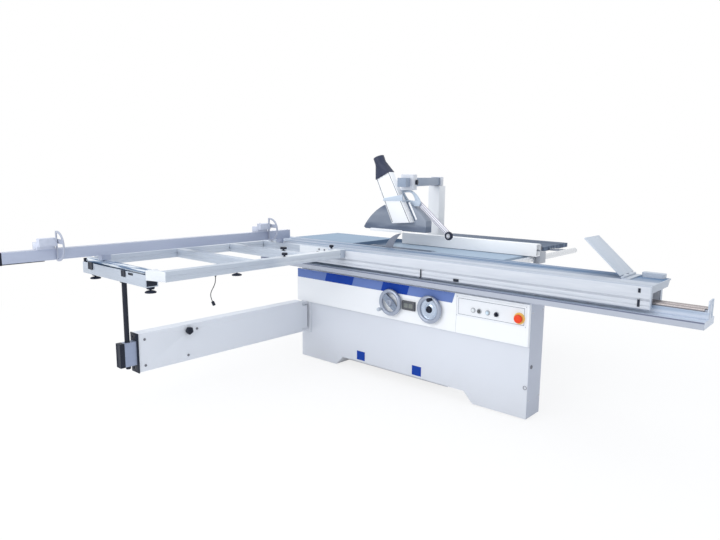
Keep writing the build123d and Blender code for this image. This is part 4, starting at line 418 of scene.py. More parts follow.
bright_steel = anodised("bright_steel", (0.70, 0.72, 0.75), (160.0, 160.0, 160.0), 0.24)
dark_steel = anodised("dark_steel", (0.20, 0.21, 0.24), (220.0, 220.0, 220.0), 0.38)
end_places = [(BASE_RIGHT, y, z) for z in (0.650, 0.120) for y in (-0.270, -0.137)]
settle(screws("base_end_screws", end_places, TO_RIGHT, 0.006), bright_steel, "base", "steel")
# The end face's darker grey sheet is painted shade, for the shade under the overhanging rail.
end_shade_grey = powder_coat("end_shade_grey", (0.50, 0.53, 0.61))
end_shade_sheet = block("base_end_shade_sheet", (1.2198, -0.2875, 0.0095), (1.2212, -0.1195, 0.7185))
pressed(end_shade_sheet, TO_RIGHT, 0.003, raised=(0.0003, 0.0, 0.0))
settle(round_off(end_shade_sheet, 0.0004), end_shade_grey, "base", "white_paint")
hook = turned("base_hook_ring", (1.2055, -0.2912, 0.200), TO_BACK, round_wire(0.0105, 0.0015, 45), 28)
settle(round_off(hook, 0.0), dark_steel, "base", "steel")
end_lock_profile = [(-0.001, 0.0), (-0.001, 0.012), (0.003, 0.012), (0.005, 0.010), (0.005, 0.007),
                    (0.003, 0.007), (0.003, 0.0)]
lock = turned("base_end_lock", (1.221, -0.255, 0.323), TO_RIGHT, end_lock_profile)
settle(round_off(lock, 0.0005), dark_steel, "base", "steel")

# Four round rubber pads level the base, each pressed over a steel plate.
# They spread under the two feet, with a rounded rim where they meet the floor.
PAD_PLACES, PAD_Y = (-0.630, -0.400, 0.927, 1.150), -0.2035
UPWARD = (0.0, 0.0, 1.0)


def moulded(name, colour, rough, grain, depth):
    """Moulded rubber or plastic with a fine sparked grain and dulled patches."""
    finish = Finish(name, Specular_IOR_Level=0.22)
    speck = finish.noise((grain, grain, grain), 2.0)
    worn = finish.noise((22.0, 22.0, 22.0), 4.0, (5.0, 0.0, 1.0))
    finish.feed({"Base Color": finish.mix(rgb(*colour, 0.85), rgb(*colour, 1.35), worn)})
    finish.feed({"Roughness": rough + 0.14 * (worn - 0.5)})
    finish.bump(speck, depth)
    return finish


black_rubber = moulded("black_rubber", (0.020, 0.025, 0.043), 0.66, 900.0, 0.0002)
pad_profile = [(0.0, 0.0), (0.0, 0.030), (0.0012, 0.034), (0.004, 0.035), (0.0065, 0.0335), (0.008, 0.029),
               (0.008, 0.0)]
pads = [turned("levelling_pad", (x, PAD_Y, 0.0), UPWARD, pad_profile, 40) for x in PAD_PLACES]
pads = joined("levelling_pad_set", pads)
settle(round_off(pads, 0.0), black_rubber, "base", "rubber", "levelling_pads")

# The rear cabinet is folded sheet, open above, that carries the table and holds the saw unit.
# A vented cover on its back is held by four quarter-turn locks.
CABINET_LEFT, CABINET_RIGHT, CABINET_BACK, CABINET_TOP = -0.410, 0.560, 0.470, 0.850
STEP_Y, STEP_Z = -0.014, 0.770
SPIGOT_X, SPIGOT_Z = 0.350, 0.300
COVER_FACE = 0.473
cabinet_side = [(BASE_BACK, 0.0), (CABINET_BACK, 0.0), (CABINET_BACK, CABINET_TOP), (STEP_Y, CABINET_TOP),
                (STEP_Y, STEP_Z), (BASE_BACK, STEP_Z)]
cabinet = drawn("cabinet_shell", [(CABINET_LEFT, y, z) for y, z in cabinet_side],
                (CABINET_RIGHT - CABINET_LEFT, 0.0, 0.0))
open_up(cabinet, lambda c, n: n.z > FACE_ON or n.y < -FACE_ON)
wall(cabinet, BASE_SHEET)


def cut(piece, tool):
    """Take the shape of a tool piece out of a piece."""
    only(piece)
    hole = piece.modifiers.new("hole", "BOOLEAN")
    hole.operation = "DIFFERENCE"
    hole.solver = "EXACT"
    hole.object = tool
    bpy.ops.object.modifier_apply(modifier=hole.name)
    bpy.data.objects.remove(tool)


def bore(piece, centre, axis, length, radius, steps):
    """Drill a round hole in a piece."""
    drill = [(0.0, 0.0), (0.0, radius), (length, radius), (length, 0.0)]
    cut(piece, turned("drill", centre, axis, drill, steps))


bore(cabinet, (SPIGOT_X, 0.440, SPIGOT_Z), TO_BACK, 0.060, 0.057, 48)
settle(round_off(cabinet, 0.0012), base_white, "base", "white_paint", "rear_cabinet")
cover = block("rear_cover", (-0.330, CABINET_BACK, 0.090), (0.190, COVER_FACE, 0.450))
for row in range(8):
    slot_z = 0.390 - 0.022 * row
    vent = block("vent", (-0.270, 0.460, slot_z - 0.004), (0.130, 0.480, slot_z + 0.004))
    cut(cover, round_off(vent, 0.0015))
settle(round_off(cover, 0.0008), base_white, "base", "white_paint", "rear_cabinet")
lock_profile = [(-0.0005, 0.0), (-0.0005, 0.009), (0.0035, 0.009), (0.005, 0.0075), (0.005, 0.003),
                (0.0035, 0.0025), (0.0035, 0.0)]
cover_locks = [turned("cover_lock", (x, COVER_FACE, z), TO_BACK, lock_profile, 24)
               for x in (-0.305, 0.165) for z in (0.115, 0.425)]
cover_locks = joined("rear_cover_locks", cover_locks)
settle(round_off(cover_locks, 0.0), dark_steel, "base", "steel", "rear_cabinet")

# The lower extraction spigot is rolled from thin sheet and butted on the cabinet's back.
# A shallow groove near its mouth holds the hose clip.
shade_grey = powder_coat("shade_grey", (0.40, 0.42, 0.46))
spigot_profile = [(0.0, 0.057), (0.0, 0.060), (0.046, 0.060), (0.048, 0.0596), (0.050, 0.060),
                  (0.0632, 0.060), (0.064, 0.0592), (0.064, 0.0578), (0.0632, 0.057), (0.0, 0.057)]
spigot = turned("dust_spigot", (SPIGOT_X, CABINET_BACK, SPIGOT_Z), TO_BACK, spigot_profile, 56)
settle(round_off(spigot, 0.0), shade_grey, "base", "grey_paint", "dust_outlet")

# The fascia is a shallow pressed cover along the top of the base, brighter than the base.
# It comes in two lengths that meet beside the control panel, each open behind.
FASCIA_FRONT, FASCIA_LOW, FASCIA_HIGH = -0.314, 0.454, 0.704
FASCIA_JOINT, HALF_GAP = 0.7325, 0.0008
FASCIA_ENDS = {"long": (-0.725, FASCIA_JOINT - HALF_GAP), "short": (FASCIA_JOINT + HALF_GAP, BASE_RIGHT)}
fascia_white = powder_coat("fascia_white", (0.88, 0.89, 0.905))
clean_white = powder_coat("clean_white", (0.94, 0.945, 0.955))
for length, (start, stop) in FASCIA_ENDS.items():
    cover = block("fascia_" + length, (start, FASCIA_FRONT, FASCIA_LOW), (stop, BASE_FRONT, FASCIA_HIGH))
    open_up(cover, facing(TO_BACK))
    wall(cover, 0.003)
    settle(round_off(cover, 0.0014, steps=3), fascia_white, "base", "white_paint", "fascia")


# The stripe is cut from coloured sheet in two blues and stuck along the top of the fascia.
# Two squares of the darker blue mark where a fork truck lifts the base.
def paint(node, finish):
    """Give a CAD node that keeps its own shape its finish."""
    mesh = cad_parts[node].data
    mesh.materials.clear()
    mesh.materials.append(finish.material)


stripe_light = powder_coat("stripe_light", (0.142, 0.214, 0.480), 0.55, 0.00005, 0.12)
stripe_dark = powder_coat("stripe_dark", (0.0085, 0.050, 0.335), 0.55, 0.00005, 0.12)
paint("light_blue_plates", stripe_light)
paint("dark_blue_plates", stripe_dark)

# The control panel is a thin printed plate with a pressed border, riveted to the fascia.
# A lamp, two buttons, a selector and a stop mushroom stand on it, each in a ring or collar.
TO_FRONT = (0.0, -1.0, 0.0)
PANEL_FACE, BUTTON_FACE, MUSHROOM_FACE, SELECTOR_NOSE = -0.316, -0.322, -0.3305, -0.340
LAMP_X, START_X, STOP_X, SELECTOR_X, MUSHROOM_X = 0.855, 0.897, 0.955, 1.015, 1.162
CONTROL_Z = 0.616
PANEL_MIDDLE_X, PANEL_MIDDLE_Z = 0.970, 0.628


def within(finish, left, right, low, high):
    """One inside an upright rectangle and nothing outside it, seen from the front."""
    aside, rise = finish.axis("X"), finish.axis("Z")
    return (aside > left) * (aside < right) * (rise > low) * (rise < high)


panel_white = Finish("panel_white", Specular_IOR_Level=0.3)
frame_line = (within(panel_white, 0.7475, 1.1925, 0.5765, 0.6795)
              - within(panel_white, 0.7505, 1.1895, 0.5795, 0.6765))
print_tone = panel_white.noise((3.0, 3.0, 3.0))
printed = panel_white.mix(rgb(0.80, 0.815, 0.84), rgb(0.84, 0.85, 0.87), print_tone)
panel_white.feed({"Base Color": panel_white.mix(printed, rgb(0.24, 0.26, 0.31), frame_line)})
panel_white.feed({"Roughness": 0.30 + 0.10 * panel_white.noise((14.0, 14.0, 14.0))})
plate = block("panel_plate", (0.735, PANEL_FACE, 0.564), (1.205, FASCIA_FRONT, 0.692))
pressed(plate, TO_FRONT, 0.007)
pick(plate, lambda c, n: n.y < -FACE_ON and abs(c.x - PANEL_MIDDLE_X) < 0.01
     and abs(c.z - PANEL_MIDDLE_Z) < 0.01)
bpy.ops.mesh.inset(thickness=0.003, depth=-0.0012)
bpy.ops.mesh.inset(thickness=0.002, depth=0.0012)
done()
settle(round_off(plate, 0.0003), panel_white, "base", "white_paint", "control_panel")
rivet_places = [(x, PANEL_FACE, z) for x in (0.7395, 1.2005) for z in (0.5685, 0.6875)]
rivets = screws("panel_rivets", rivet_places, TO_FRONT, 0.0028)
settle(rivets, bright_steel, "base", "steel", "control_panel")
ring_grey = moulded("ring_grey", (0.42, 0.43, 0.45), 0.35, 900.0, 0.00004)
ring_profile = [(0.0, 0.011), (0.0, 0.016), (0.0035, 0.016), (0.0058, 0.0145), (0.006, 0.0130),
                (0.0052, 0.0115), (0.0045, 0.011), (0.0, 0.011)]
rings = [turned("button_ring", (x, PANEL_FACE, CONTROL_Z), TO_FRONT, ring_profile, 32)
         for x in (LAMP_X, START_X, STOP_X, SELECTOR_X)]
settle(round_off(joined("button_rings", rings), 0.0), ring_grey, "base", "grey_plastic", "control_panel")
lens_pale = moulded("lens_pale", (0.72, 0.75, 0.78), 0.16, 300.0, 0.00002)
lens_profile = [(0.0, 0.0), (0.0, 0.0105), (0.006, 0.0105), (0.008, 0.0098), (0.0095, 0.007), (0.010, 0.0)]
lens = turned("lamp_lens", (LAMP_X, PANEL_FACE, CONTROL_Z), TO_FRONT, lens_profile, 32)
settle(round_off(lens, 0.0), lens_pale, "base", "grey_plastic", "control_panel")
collar_yellow = moulded("collar_yellow", (0.84, 0.47, 0.12), 0.35, 900.0, 0.00004)
collar_profile = [(0.0, 0.0095), (0.0, 0.034), (0.005, 0.034), (0.0075, 0.032), (0.008, 0.028),
                  (0.008, 0.016), (0.0065, 0.0095), (0.0, 0.0095)]
collar = turned("stop_collar", (MUSHROOM_X, PANEL_FACE, CONTROL_Z), TO_FRONT, collar_profile, 48)
settle(round_off(collar, 0.0), collar_yellow, "base", "grey_plastic", "control_panel")


def push_button(name, x, body, finish, slot, node):
    """A push button: a dished cap with a soft edge on its stem."""
    profile = [(-0.013, 0.0), (-0.013, 0.0065), (-0.0002, 0.0065), (-0.0002, 0.0105), (0.0036, 0.0105),
               (0.0048, 0.0096), (0.0048, 0.0085), (0.0040, 0.0065), (0.0036, 0.0)]
    cap = turned(name, (x, BUTTON_FACE, CONTROL_Z), TO_FRONT, profile, 32)
    settle(round_off(cap, 0.0), finish, body, slot, node)


def tapered(piece, way, shrink, centre):
    """Shrink the faces that look one way about a point."""
    pick(piece, facing(way))
    bpy.ops.transform.resize(value=shrink, center_override=centre)
    done()


black_plastic = moulded("black_plastic", (0.013, 0.017, 0.030), 0.42, 1400.0, 0.0001)
button_grey = moulded("button_grey", (0.10, 0.105, 0.11), 0.40, 900.0, 0.00004)
button_pale = moulded("button_pale", (0.55, 0.66, 0.74), 0.34, 900.0, 0.00004)
push_button("start_cap", START_X, "start", button_grey, "grey_plastic", "start_button")
push_button("stop_cap", STOP_X, "stop", button_pale, "grey_plastic", "stop_button")
selector_profile = [(-0.010, 0.0), (-0.010, 0.0045), (0.0004, 0.0045), (0.0004, 0.014), (0.0045, 0.014),
                    (0.006, 0.0125), (0.006, 0.0)]
selector = turned("selector_disc", (SELECTOR_X, BUTTON_FACE, CONTROL_Z), TO_FRONT, selector_profile, 32)
grip = block("selector_grip", (1.011, SELECTOR_NOSE, CONTROL_Z - 0.013), (1.019, -0.3275, CONTROL_Z + 0.013))
tapered(grip, TO_FRONT, (0.6, 1.0, 0.85), (SELECTOR_X, SELECTOR_NOSE, CONTROL_Z))
selector = joined("selector_lever", [round_off(selector, 0.0), round_off(grip, 0.0012)])
settle(selector, black_plastic, "selector", "black_plastic", "selector_knob")
red_plastic = moulded("red_plastic", (0.72, 0.055, 0.016), 0.25, 700.0, 0.00002)
mushroom_profile = [(-0.008, 0.0), (-0.008, 0.0085), (-0.0003, 0.0085), (-0.0003, 0.022), (0.001, 0.0245),
                    (0.003, 0.025), (0.008, 0.025), (0.0115, 0.0238), (0.014, 0.0205), (0.0152, 0.017),
                    (0.0152, 0.013), (0.0145, 0.008), (0.0142, 0.0)]
mushroom = turned("stop_mushroom", (MUSHROOM_X, MUSHROOM_FACE, CONTROL_Z), TO_FRONT, mushroom_profile, 48)
settle(round_off(mushroom, 0.0), red_plastic, "estop", "red_plastic", "estop_button")

# The readout between the handwheels is a dark moulded case with a sunk glass.
# Its two scales are plain dark windows under the glass.
case_grey = moulded("case_grey", (0.085, 0.088, 0.098), 0.45, 1100.0, 0.00008)
case = block("readout_case", (0.314, -0.328, 0.540), (0.419, FASCIA_FRONT, 0.601))
pressed(case, TO_FRONT, 0.010, sunk=(0.0, 0.0022, 0.0))
settle(round_off(case, 0.0018, steps=3), case_grey, "base", "black_plastic", "readout")
glass_dark = Finish("readout_glass", Coat_Weight=0.6, Coat_Roughness=0.06)
window = within(glass_dark, 0.330, 0.363, 0.556, 0.585) + within(glass_dark, 0.370, 0.403, 0.556, 0.585)
haze = glass_dark.noise((40.0, 40.0, 40.0), 3.0)
glass_dark.feed({"Base Color": glass_dark.mix(rgb(0.075, 0.08, 0.09), rgb(0.16, 0.175, 0.165), window)})
glass_dark.feed({"Roughness": 0.12 + 0.10 * haze})
glass = block("readout_window", (0.3245, -0.3271, 0.5505), (0.4085, -0.3255, 0.5905))
pressed(glass, TO_FRONT, 0.001, raised=(0.0, -0.0002, 0.0))
settle(round_off(glass, 0.0002), glass_dark, "base", "black_plastic", "readout")

# The two handwheels are cast in aluminium: a round rim, a turned hub and a spinning grip.
# The left one has a single broad spoke and the right one a polished dish.
WHEEL_Z, RIM_Y, RIM_RADIUS, RIM_THICK = 0.575, -0.340, 0.078, 0.014
LEFT_WHEEL, RIGHT_WHEEL = 0.223, 0.544
HUB_Y, SPOKE_Y, GRIP_Y = -0.326, -0.334, -0.3543


def wheel_rim(name, x):
    """The round rim of a handwheel."""
    rim = turned(name, (x, RIM_Y, WHEEL_Z), TO_FRONT, round_wire(RIM_RADIUS, RIM_THICK, 20), 72)
    return round_off(rim, 0.0)


def wheel_hub(name, x, radius, length):
    """Hub and shaft of a handwheel, with a turned step and a countersunk nose."""
    profile = [(-0.053, 0.0), (-0.053, 0.011), (0.0, 0.011), (0.0, radius), (length * 0.6, radius),
               (length * 0.72, radius * 0.9), (length - 0.001, radius * 0.78), (length, radius * 0.70),
               (length, radius * 0.35), (length - 0.004, radius * 0.30), (length - 0.004, 0.0)]
    return round_off(turned(name, (x, HUB_Y, WHEEL_Z), TO_FRONT, profile, 40), 0.0)


def wheel_grip(name, x, angle, body, node, finish):
    """Waisted grip that spins on its pin in the rim."""
    place = (x + RIM_RADIUS * math.sin(math.radians(angle)), GRIP_Y,
             WHEEL_Z + RIM_RADIUS * math.cos(math.radians(angle)))
    profile = [(0.0, 0.0), (0.0, 0.0085), (0.003, 0.0095), (0.010, 0.0105), (0.024, 0.0122), (0.034, 0.013),
               (0.041, 0.0122), (0.045, 0.0085), (0.046, 0.004), (0.046, 0.0)]
    grip = turned(name, place, TO_FRONT, profile, 32)
    settle(round_off(grip, 0.0), finish, body, "black_plastic", node)


wheel_cast = anodised("wheel_cast", (0.37, 0.41, 0.50), (90.0, 90.0, 90.0), 0.34, 0.6)
spoke_cast = anodised("spoke_cast", (0.27, 0.32, 0.41), (90.0, 90.0, 90.0), 0.38, 0.7)
wheel_polish = anodised("wheel_polish", (0.52, 0.60, 0.73), (30.0, 900.0, 30.0), 0.24)
grip_pale = moulded("grip_pale", (0.44, 0.48, 0.54), 0.40, 900.0, 0.00005)
lean = math.radians(40.0)
long_way = Vector((math.cos(lean), 0.0, -math.sin(lean)))
wide_way = Vector((math.sin(lean), 0.0, math.cos(lean)))
middle = Vector((LEFT_WHEEL, SPOKE_Y, WHEEL_Z))
corners = [(-0.074, -0.019), (0.0, -0.027), (0.074, -0.019), (0.074, 0.019), (0.0, 0.027), (-0.074, 0.019)]
spoke_line = [middle + long_way * a + wide_way * b for a, b in corners]
spoke = drawn("wheel_spoke", spoke_line, (0.0, -0.012, 0.0))
pressed(spoke, TO_FRONT, 0.006, sunk=(0.0, 0.003, 0.0))
settle(round_off(spoke, 0.0016, steps=3), spoke_cast, "raise_wheel", "steel", "raise_handwheel")
left_wheel = joined("raise_wheel_casting", [wheel_rim("raise_rim", LEFT_WHEEL),
                                            wheel_hub("raise_hub", LEFT_WHEEL, 0.025, 0.029)])
settle(left_wheel, wheel_cast, "raise_wheel", "steel", "raise_handwheel")
wheel_grip("raise_grip", LEFT_WHEEL, -130.0, "raise_wheel", "raise_handwheel", grip_pale)
dish_profile = [(0.004, 0.0), (0.004, 0.072), (0.010, 0.078), (0.014, 0.074), (0.0095, 0.062),
                (0.0075, 0.045), (0.0085, 0.030), (0.012, 0.024), (0.012, 0.0)]
dish = turned("tilt_dish", (RIGHT_WHEEL, HUB_Y, WHEEL_Z), TO_FRONT, dish_profile, 72)
settle(round_off(dish, 0.0), wheel_polish, "tilt_wheel", "steel", "tilt_handwheel")
settle(wheel_rim("tilt_rim", RIGHT_WHEEL), wheel_cast, "tilt_wheel", "steel", "tilt_handwheel")
tilt_hub = wheel_hub("tilt_hub", RIGHT_WHEEL, 0.023, 0.026)
settle(tilt_hub, black_plastic, "tilt_wheel", "black_plastic", "tilt_handwheel")
wheel_grip("tilt_grip", RIGHT_WHEEL, 20.0, "tilt_wheel", "tilt_handwheel", black_plastic)

# The rail is a long anodised extrusion bolted to the top of the base, so its die lines run along X.
# Two hardened ground rods are pressed into its spine, and a plate with a stop lug closes each end.
bar_along_x = anodised("bar_along_x", (0.50, 0.55, 0.625), (3.0, 420.0, 420.0), 0.46, 0.45, 0.3)
bar_along_y = anodised("bar_along_y", (0.44, 0.49, 0.57), (420.0, 3.0, 420.0), 0.46, 0.45, 0.3)
rod_steel = anodised("rod_steel", (0.37, 0.34, 0.34), (6.0, 300.0, 300.0), 0.30, 0.7)
rail_alloy = Finish("rail_alloy", Metallic=0.35, Specular_IOR_Level=0.3)
drag = rail_alloy.noise((3.0, 420.0, 420.0), 3.0)
up, back = rail_alloy.axis("Z"), rail_alloy.axis("Y")
# A dark line along the top of the rail's front face is painted shadow, cast by the carriage's skirt above
# it.
carriage_shadow_line = (up > 0.7565) * (up < 0.7635) * (back < -0.374)
walk = rail_alloy.between(rail_alloy.noise((0.5, 40.0, 30.0), 2.0), 0.42, 0.60) * (up > 0.7638)
# The rail's front face gets a darker alloy colour than its top: painted shade of the face under the
# carriage.
face = rail_alloy.mix(rgb(0.60, 0.65, 0.74), rgb(0.44, 0.47, 0.54), back < -0.3745)
alloy = rail_alloy.mix(face, rgb(0.24, 0.34, 0.48), walk * 0.6)
rail_alloy.feed({"Base Color": rail_alloy.mix(alloy, rgb(0.16, 0.18, 0.26), carriage_shadow_line)})
rail_alloy.feed({"Roughness": 0.42 + 0.16 * (drag - 0.5)})
rail_alloy.bump(drag, LINE_DEPTH)
paint("rail", rail_alloy)
paint("guide_rods", rod_steel)


# The sliding carriage is one wide extrusion whose deck has ribs along it to slide work on.
# A caged row of rollers carries it on the rods, and thin plates close its ends.
# A lever, a clip and two slot stops stand on its front, and a push plate folds on its deck.
DOWNWARD = (0.0, 0.0, -1.0)
DECK_TOP = 0.893


def mean_height(shell):
    """Mean height of the points of a mesh."""
    return sum(v.co.z for v in shell.data.vertices) / len(shell.data.vertices)


def shells(node, flat=math.radians(0.5)):
    """The separate solids of a node, each as one clean mesh, in order of height."""
    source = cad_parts[node]
    piece = bpy.data.objects.new(node + "_skin", source.data.copy())
    bpy.context.scene.collection.objects.link(piece)
    only(piece)
    bpy.ops.object.mode_set(mode="EDIT")
    bpy.ops.mesh.select_all(action="SELECT")
    bpy.ops.mesh.remove_doubles(threshold=TOUCHING)
    if flat:
        bpy.ops.mesh.dissolve_limited(angle_limit=flat)
    bpy.ops.mesh.separate(type="LOOSE")
    done()
    return sorted(bpy.context.selected_objects, key=mean_height)


def skin(node, finish, edge, body, slot):
    """The node's one solid as a clean mesh with broken edges, riding where the node rides."""
    return settle(round_off(shells(node)[0], edge), finish, body, slot, node)


deck = Finish("deck_anodised", Metallic=0.02, Specular_IOR_Level=0.03)
die_line = deck.noise((2.0, 420.0, 420.0), 3.0)
# Blue streaks along the deck's top, heavier at its far side and left end, are painted reflection of the sky.
reflection_streak = deck.between(deck.noise((0.25, 30.0, 1.0), 2.0), 0.42, 0.58)
reflection_band = deck.between(deck.noise((1.6, 70.0, 1.0), 2.0, (2.0, 0.0, 1.0)), 0.40, 0.60)
wave = deck.noise((5.0, 1.0, 70.0), 2.0, (1.0, 1.0, 0.0))
top = deck.axis("Z") > DECK_TOP
left = deck.between(deck.axis("X"), -0.9, 0.9, 0.75, 0.0)
far = deck.between(deck.axis("Y"), -0.28, -0.12, 0.25, 1.0)
blue = top * (0.24 + 0.48 * reflection_streak + 0.26 * reflection_band) * (far + left - far * left)
pale = deck.mix(rgb(0.55, 0.58, 0.64), rgb(0.70, 0.72, 0.76), wave)
deck.feed({"Base Color": deck.mix(pale, rgb(0.070, 0.160, 0.300), blue)})
deck.feed({"Roughness": 0.46 + 0.18 * (die_line - 0.5)})
deck.bump(die_line, LINE_DEPTH)
skin("carriage", deck, 0.0004, "carriage", "aluminium")
paint("carriage_fittings", bar_along_x)
paint("roller_cage", bright_steel)
lever = block("carriage_lever", (0.4765, -0.3555, 0.786), (0.4835, -0.349, 0.832))
pick(lever, facing(DOWNWARD))
bpy.ops.mesh.extrude_region_move(TRANSFORM_OT_translate={"value": (0.0, -0.004, -0.010)})
bpy.ops.transform.resize(value=(1.5, 1.0, 1.0), center_override=(0.480, -0.355, 0.776))
done()
settle(round_off(lever, 0.0015), black_plastic, "carriage", "black_plastic")
clip = block("carriage_clip", (0.728, -0.3565, 0.784), (0.764, -0.349, 0.800))
pressed(clip, TO_FRONT, 0.004, -0.002)
settle(round_off(clip, 0.001), black_plastic, "carriage", "black_plastic")
slot_stops = [block("slot_stop", (1.806, -0.3515, low), (1.818, -0.348, high))
              for low, high in ((0.862, 0.884), (0.790, 0.828))]
for stop in slot_stops:
    round_off(pressed(stop, TO_FRONT, 0.002, -0.001), 0.0006)
settle(joined("carriage_slot_stops", slot_stops), black_plastic, "carriage", "black_plastic")
push_white = powder_coat("push_white", (0.55, 0.60, 0.67))
skin("push_plate", push_white, 0.001, "push", "white_paint")

# The outrigger frame is bolted up from grooved aluminium bars and hangs on the carriage.
# A cast corner joins its front bar to the outer beam, and a pressed cover faces its inner bar.
BAR_LOW, BAR_HEIGHT, BAR_TOP = 0.842, 0.058, 0.900
INNER_BAR_Y, CROSS_BAR_Y, OUTER_BAR_Y = -0.374, -0.700, -1.150
FRONT_BAR_X, REAR_BAR_X = -0.210, -1.060
BAR_SECTION = [
    (-0.025, 0.0), (0.025, 0.0), (0.025, 0.020), (0.0226, 0.0215), (0.0226, 0.0325), (0.025, 0.034),
    (0.025, BAR_HEIGHT), (0.007, BAR_HEIGHT), (0.006, 0.0562), (-0.006, 0.0562), (-0.007, BAR_HEIGHT),
    (-0.025, BAR_HEIGHT), (-0.025, 0.034), (-0.0226, 0.0325), (-0.0226, 0.0215), (-0.025, 0.020),
]


def frame_bar(name, x, y, along, length):
    """One grooved bar, from the middle of its lower face at one end, pushed to its length."""
    across = Vector(TO_RIGHT) if along == TO_BACK else Vector(TO_BACK)
    start = Vector((x, y, BAR_LOW))
    outline = [start + across * side + Vector((0.0, 0.0, rise)) for side, rise in BAR_SECTION]
    return round_off(drawn(name, outline, Vector(along) * length), 0.0006)


bar_pale_end = Finish("bar_pale_end", Metallic=0.25)
mill = bar_pale_end.noise((260.0, 5.0, 260.0), 3.0)
inward = bar_pale_end.between(bar_pale_end.axis("Y"), -1.050, -0.900)
bar_grey = bar_pale_end.mix(rgb(0.46, 0.51, 0.59), rgb(0.56, 0.61, 0.68), mill)
bar_pale_end.feed({"Base Color": bar_pale_end.mix(bar_grey, rgb(0.66, 0.70, 0.75), inward)})
bar_pale_end.feed({"Roughness": 0.36 + 0.14 * (mill - 0.5)})
bar_pale_end.bump(mill, LINE_DEPTH)
bars_y = joined("frame_side_bars", [frame_bar("front_bar", FRONT_BAR_X, -1.770, TO_BACK, 1.371),
                                    frame_bar("rear_bar", REAR_BAR_X, -1.739, TO_BACK, 1.340)])
settle(bars_y, bar_pale_end, "carriage", "aluminium", "outrigger_bars")
bars_x = joined("frame_cross_bars", [frame_bar("inner_bar", -1.085, INNER_BAR_Y, TO_RIGHT, 0.900),
                                     frame_bar("outer_cross_bar", -1.035, OUTER_BAR_Y, TO_RIGHT, 0.800),
                                     frame_bar("inner_cross_bar", -1.035, CROSS_BAR_Y, TO_RIGHT, 0.800)])
settle(bars_x, bar_along_x, "carriage", "aluminium", "outrigger_bars")
cast_pale = powder_coat("cast_pale", (0.70, 0.725, 0.76), 0.40)
corner_line = [(-0.235, -1.770), (-0.318, -1.739), (-0.318, -1.815), (-0.185, -1.770)]
corner = drawn("frame_corner", [(x, y, BAR_LOW) for x, y in corner_line], (0.0, 0.0, BAR_HEIGHT))
settle(round_off(corner, 0.003, steps=3), cast_pale, "carriage", "aluminium", "outrigger_bars")
inner_cover = block("inner_bar_cover", (-0.604, -0.4015, 0.845), (-0.309, -0.3985, 0.8995))
pressed(inner_cover, TO_FRONT, 0.004, 0.0008)
settle(round_off(inner_cover, 0.0005), cast_pale, "carriage", "aluminium")
cover_screw_places = [(x, -0.4023, 0.888) for x in (-0.395, -0.340)]
cover_screws = screws("inner_cover_screws", cover_screw_places, TO_FRONT, 0.007)
settle(cover_screws, dark_steel, "carriage", "steel")
cover_clip = block("inner_cover_clip", (-0.420, -0.4065, 0.851), (-0.325, -0.4020, 0.872))
pressed(cover_clip, TO_FRONT, 0.005, -0.0015)
clip_grey = moulded("clip_grey", (0.16, 0.165, 0.18), 0.5, 800.0, 0.0001)
settle(round_off(cover_clip, 0.0008), clip_grey, "carriage", "black_plastic")

# The outer beam is a folded channel under the frame's outer end.
# Black moulded blocks close its ends and hold the bearings of a long steel roller.
BEAM_LEFT, BEAM_RIGHT, BEAM_Y, ROLLER_Z = -1.085, -0.318, -1.777, 0.878
BEAM_LOW, BEAM_FLOOR, BEAM_HIGH = 0.800, 0.806, 0.870
BLOCK_LENGTH = 0.015
channel = [(-1.815, BEAM_LOW), (-1.739, BEAM_LOW), (-1.739, BEAM_HIGH), (-1.745, BEAM_HIGH),
           (-1.745, BEAM_FLOOR), (-1.809, BEAM_FLOOR), (-1.809, BEAM_HIGH), (-1.815, BEAM_HIGH)]
channel_line = [(BEAM_LEFT, y, z) for y, z in channel]
beam = drawn("outer_channel", channel_line, (BEAM_RIGHT - BEAM_LEFT, 0.0, 0.0))
settle(round_off(beam, 0.001), bar_along_x, "carriage", "aluminium", "outer_beam")
ends = []
for left in (BEAM_LEFT, BEAM_RIGHT - BLOCK_LENGTH):
    end = block("roller_block", (left, -1.809, BEAM_FLOOR), (left + BLOCK_LENGTH, -1.745, 0.892))
    bore(end, (left - 0.005, BEAM_Y, ROLLER_Z), TO_RIGHT, 0.025, 0.00825, 24)
    ends.append(round_off(end, 0.0015))
settle(joined("roller_blocks", ends), black_plastic, "carriage", "black_plastic", "outer_beam")
roller_profile = [(0.001, 0.0), (0.001, 0.0070), (0.002, 0.008), (0.0155, 0.008), (0.0155, 0.0205),
                  (0.017, 0.022), (0.750, 0.022), (0.7515, 0.0205), (0.7515, 0.008), (0.765, 0.008),
                  (0.766, 0.0070), (0.766, 0.0)]
roller = turned("long_roller", (BEAM_LEFT, BEAM_Y, ROLLER_Z), TO_RIGHT, roller_profile, 48)
roller_steel = Finish("roller_steel", Metallic=0.6)
glint = roller_steel.between(roller_steel.noise((5.0, 150.0, 110.0), 2.0), 0.43, 0.57)
roller_steel.feed({"Base Color": roller_steel.mix(rgb(0.80, 0.86, 0.92), rgb(0.12, 0.20, 0.33), glint)})
roller_steel.feed({"Roughness": 0.24 + 0.14 * glint})
settle(round_off(roller, 0.0), roller_steel, "roller", "aluminium", "frame_roller")
clamps = [block("beam_clamp", (-0.580, -1.822, 0.836), (-0.538, -1.814, 0.872)),
          block("beam_clamp", (-1.000, -1.822, 0.832), (-0.945, -1.814, 0.874)),
          block("beam_slot", (-0.505, -1.818, 0.853), (-0.455, -1.814, 0.866))]
for clamp in clamps:
    round_off(pressed(clamp, TO_FRONT, 0.004, -0.0015), 0.001)
settle(joined("beam_clamps", clamps), black_plastic, "carriage", "black_plastic")

# Three levelling feet let the frame stand by itself when it is taken off the machine.
# Each is a rubber disc on a threaded stem under a moulded block.
SHOE_HALF, SHOE_HIGH, THREAD_PITCH = 0.018, 0.014, 0.003


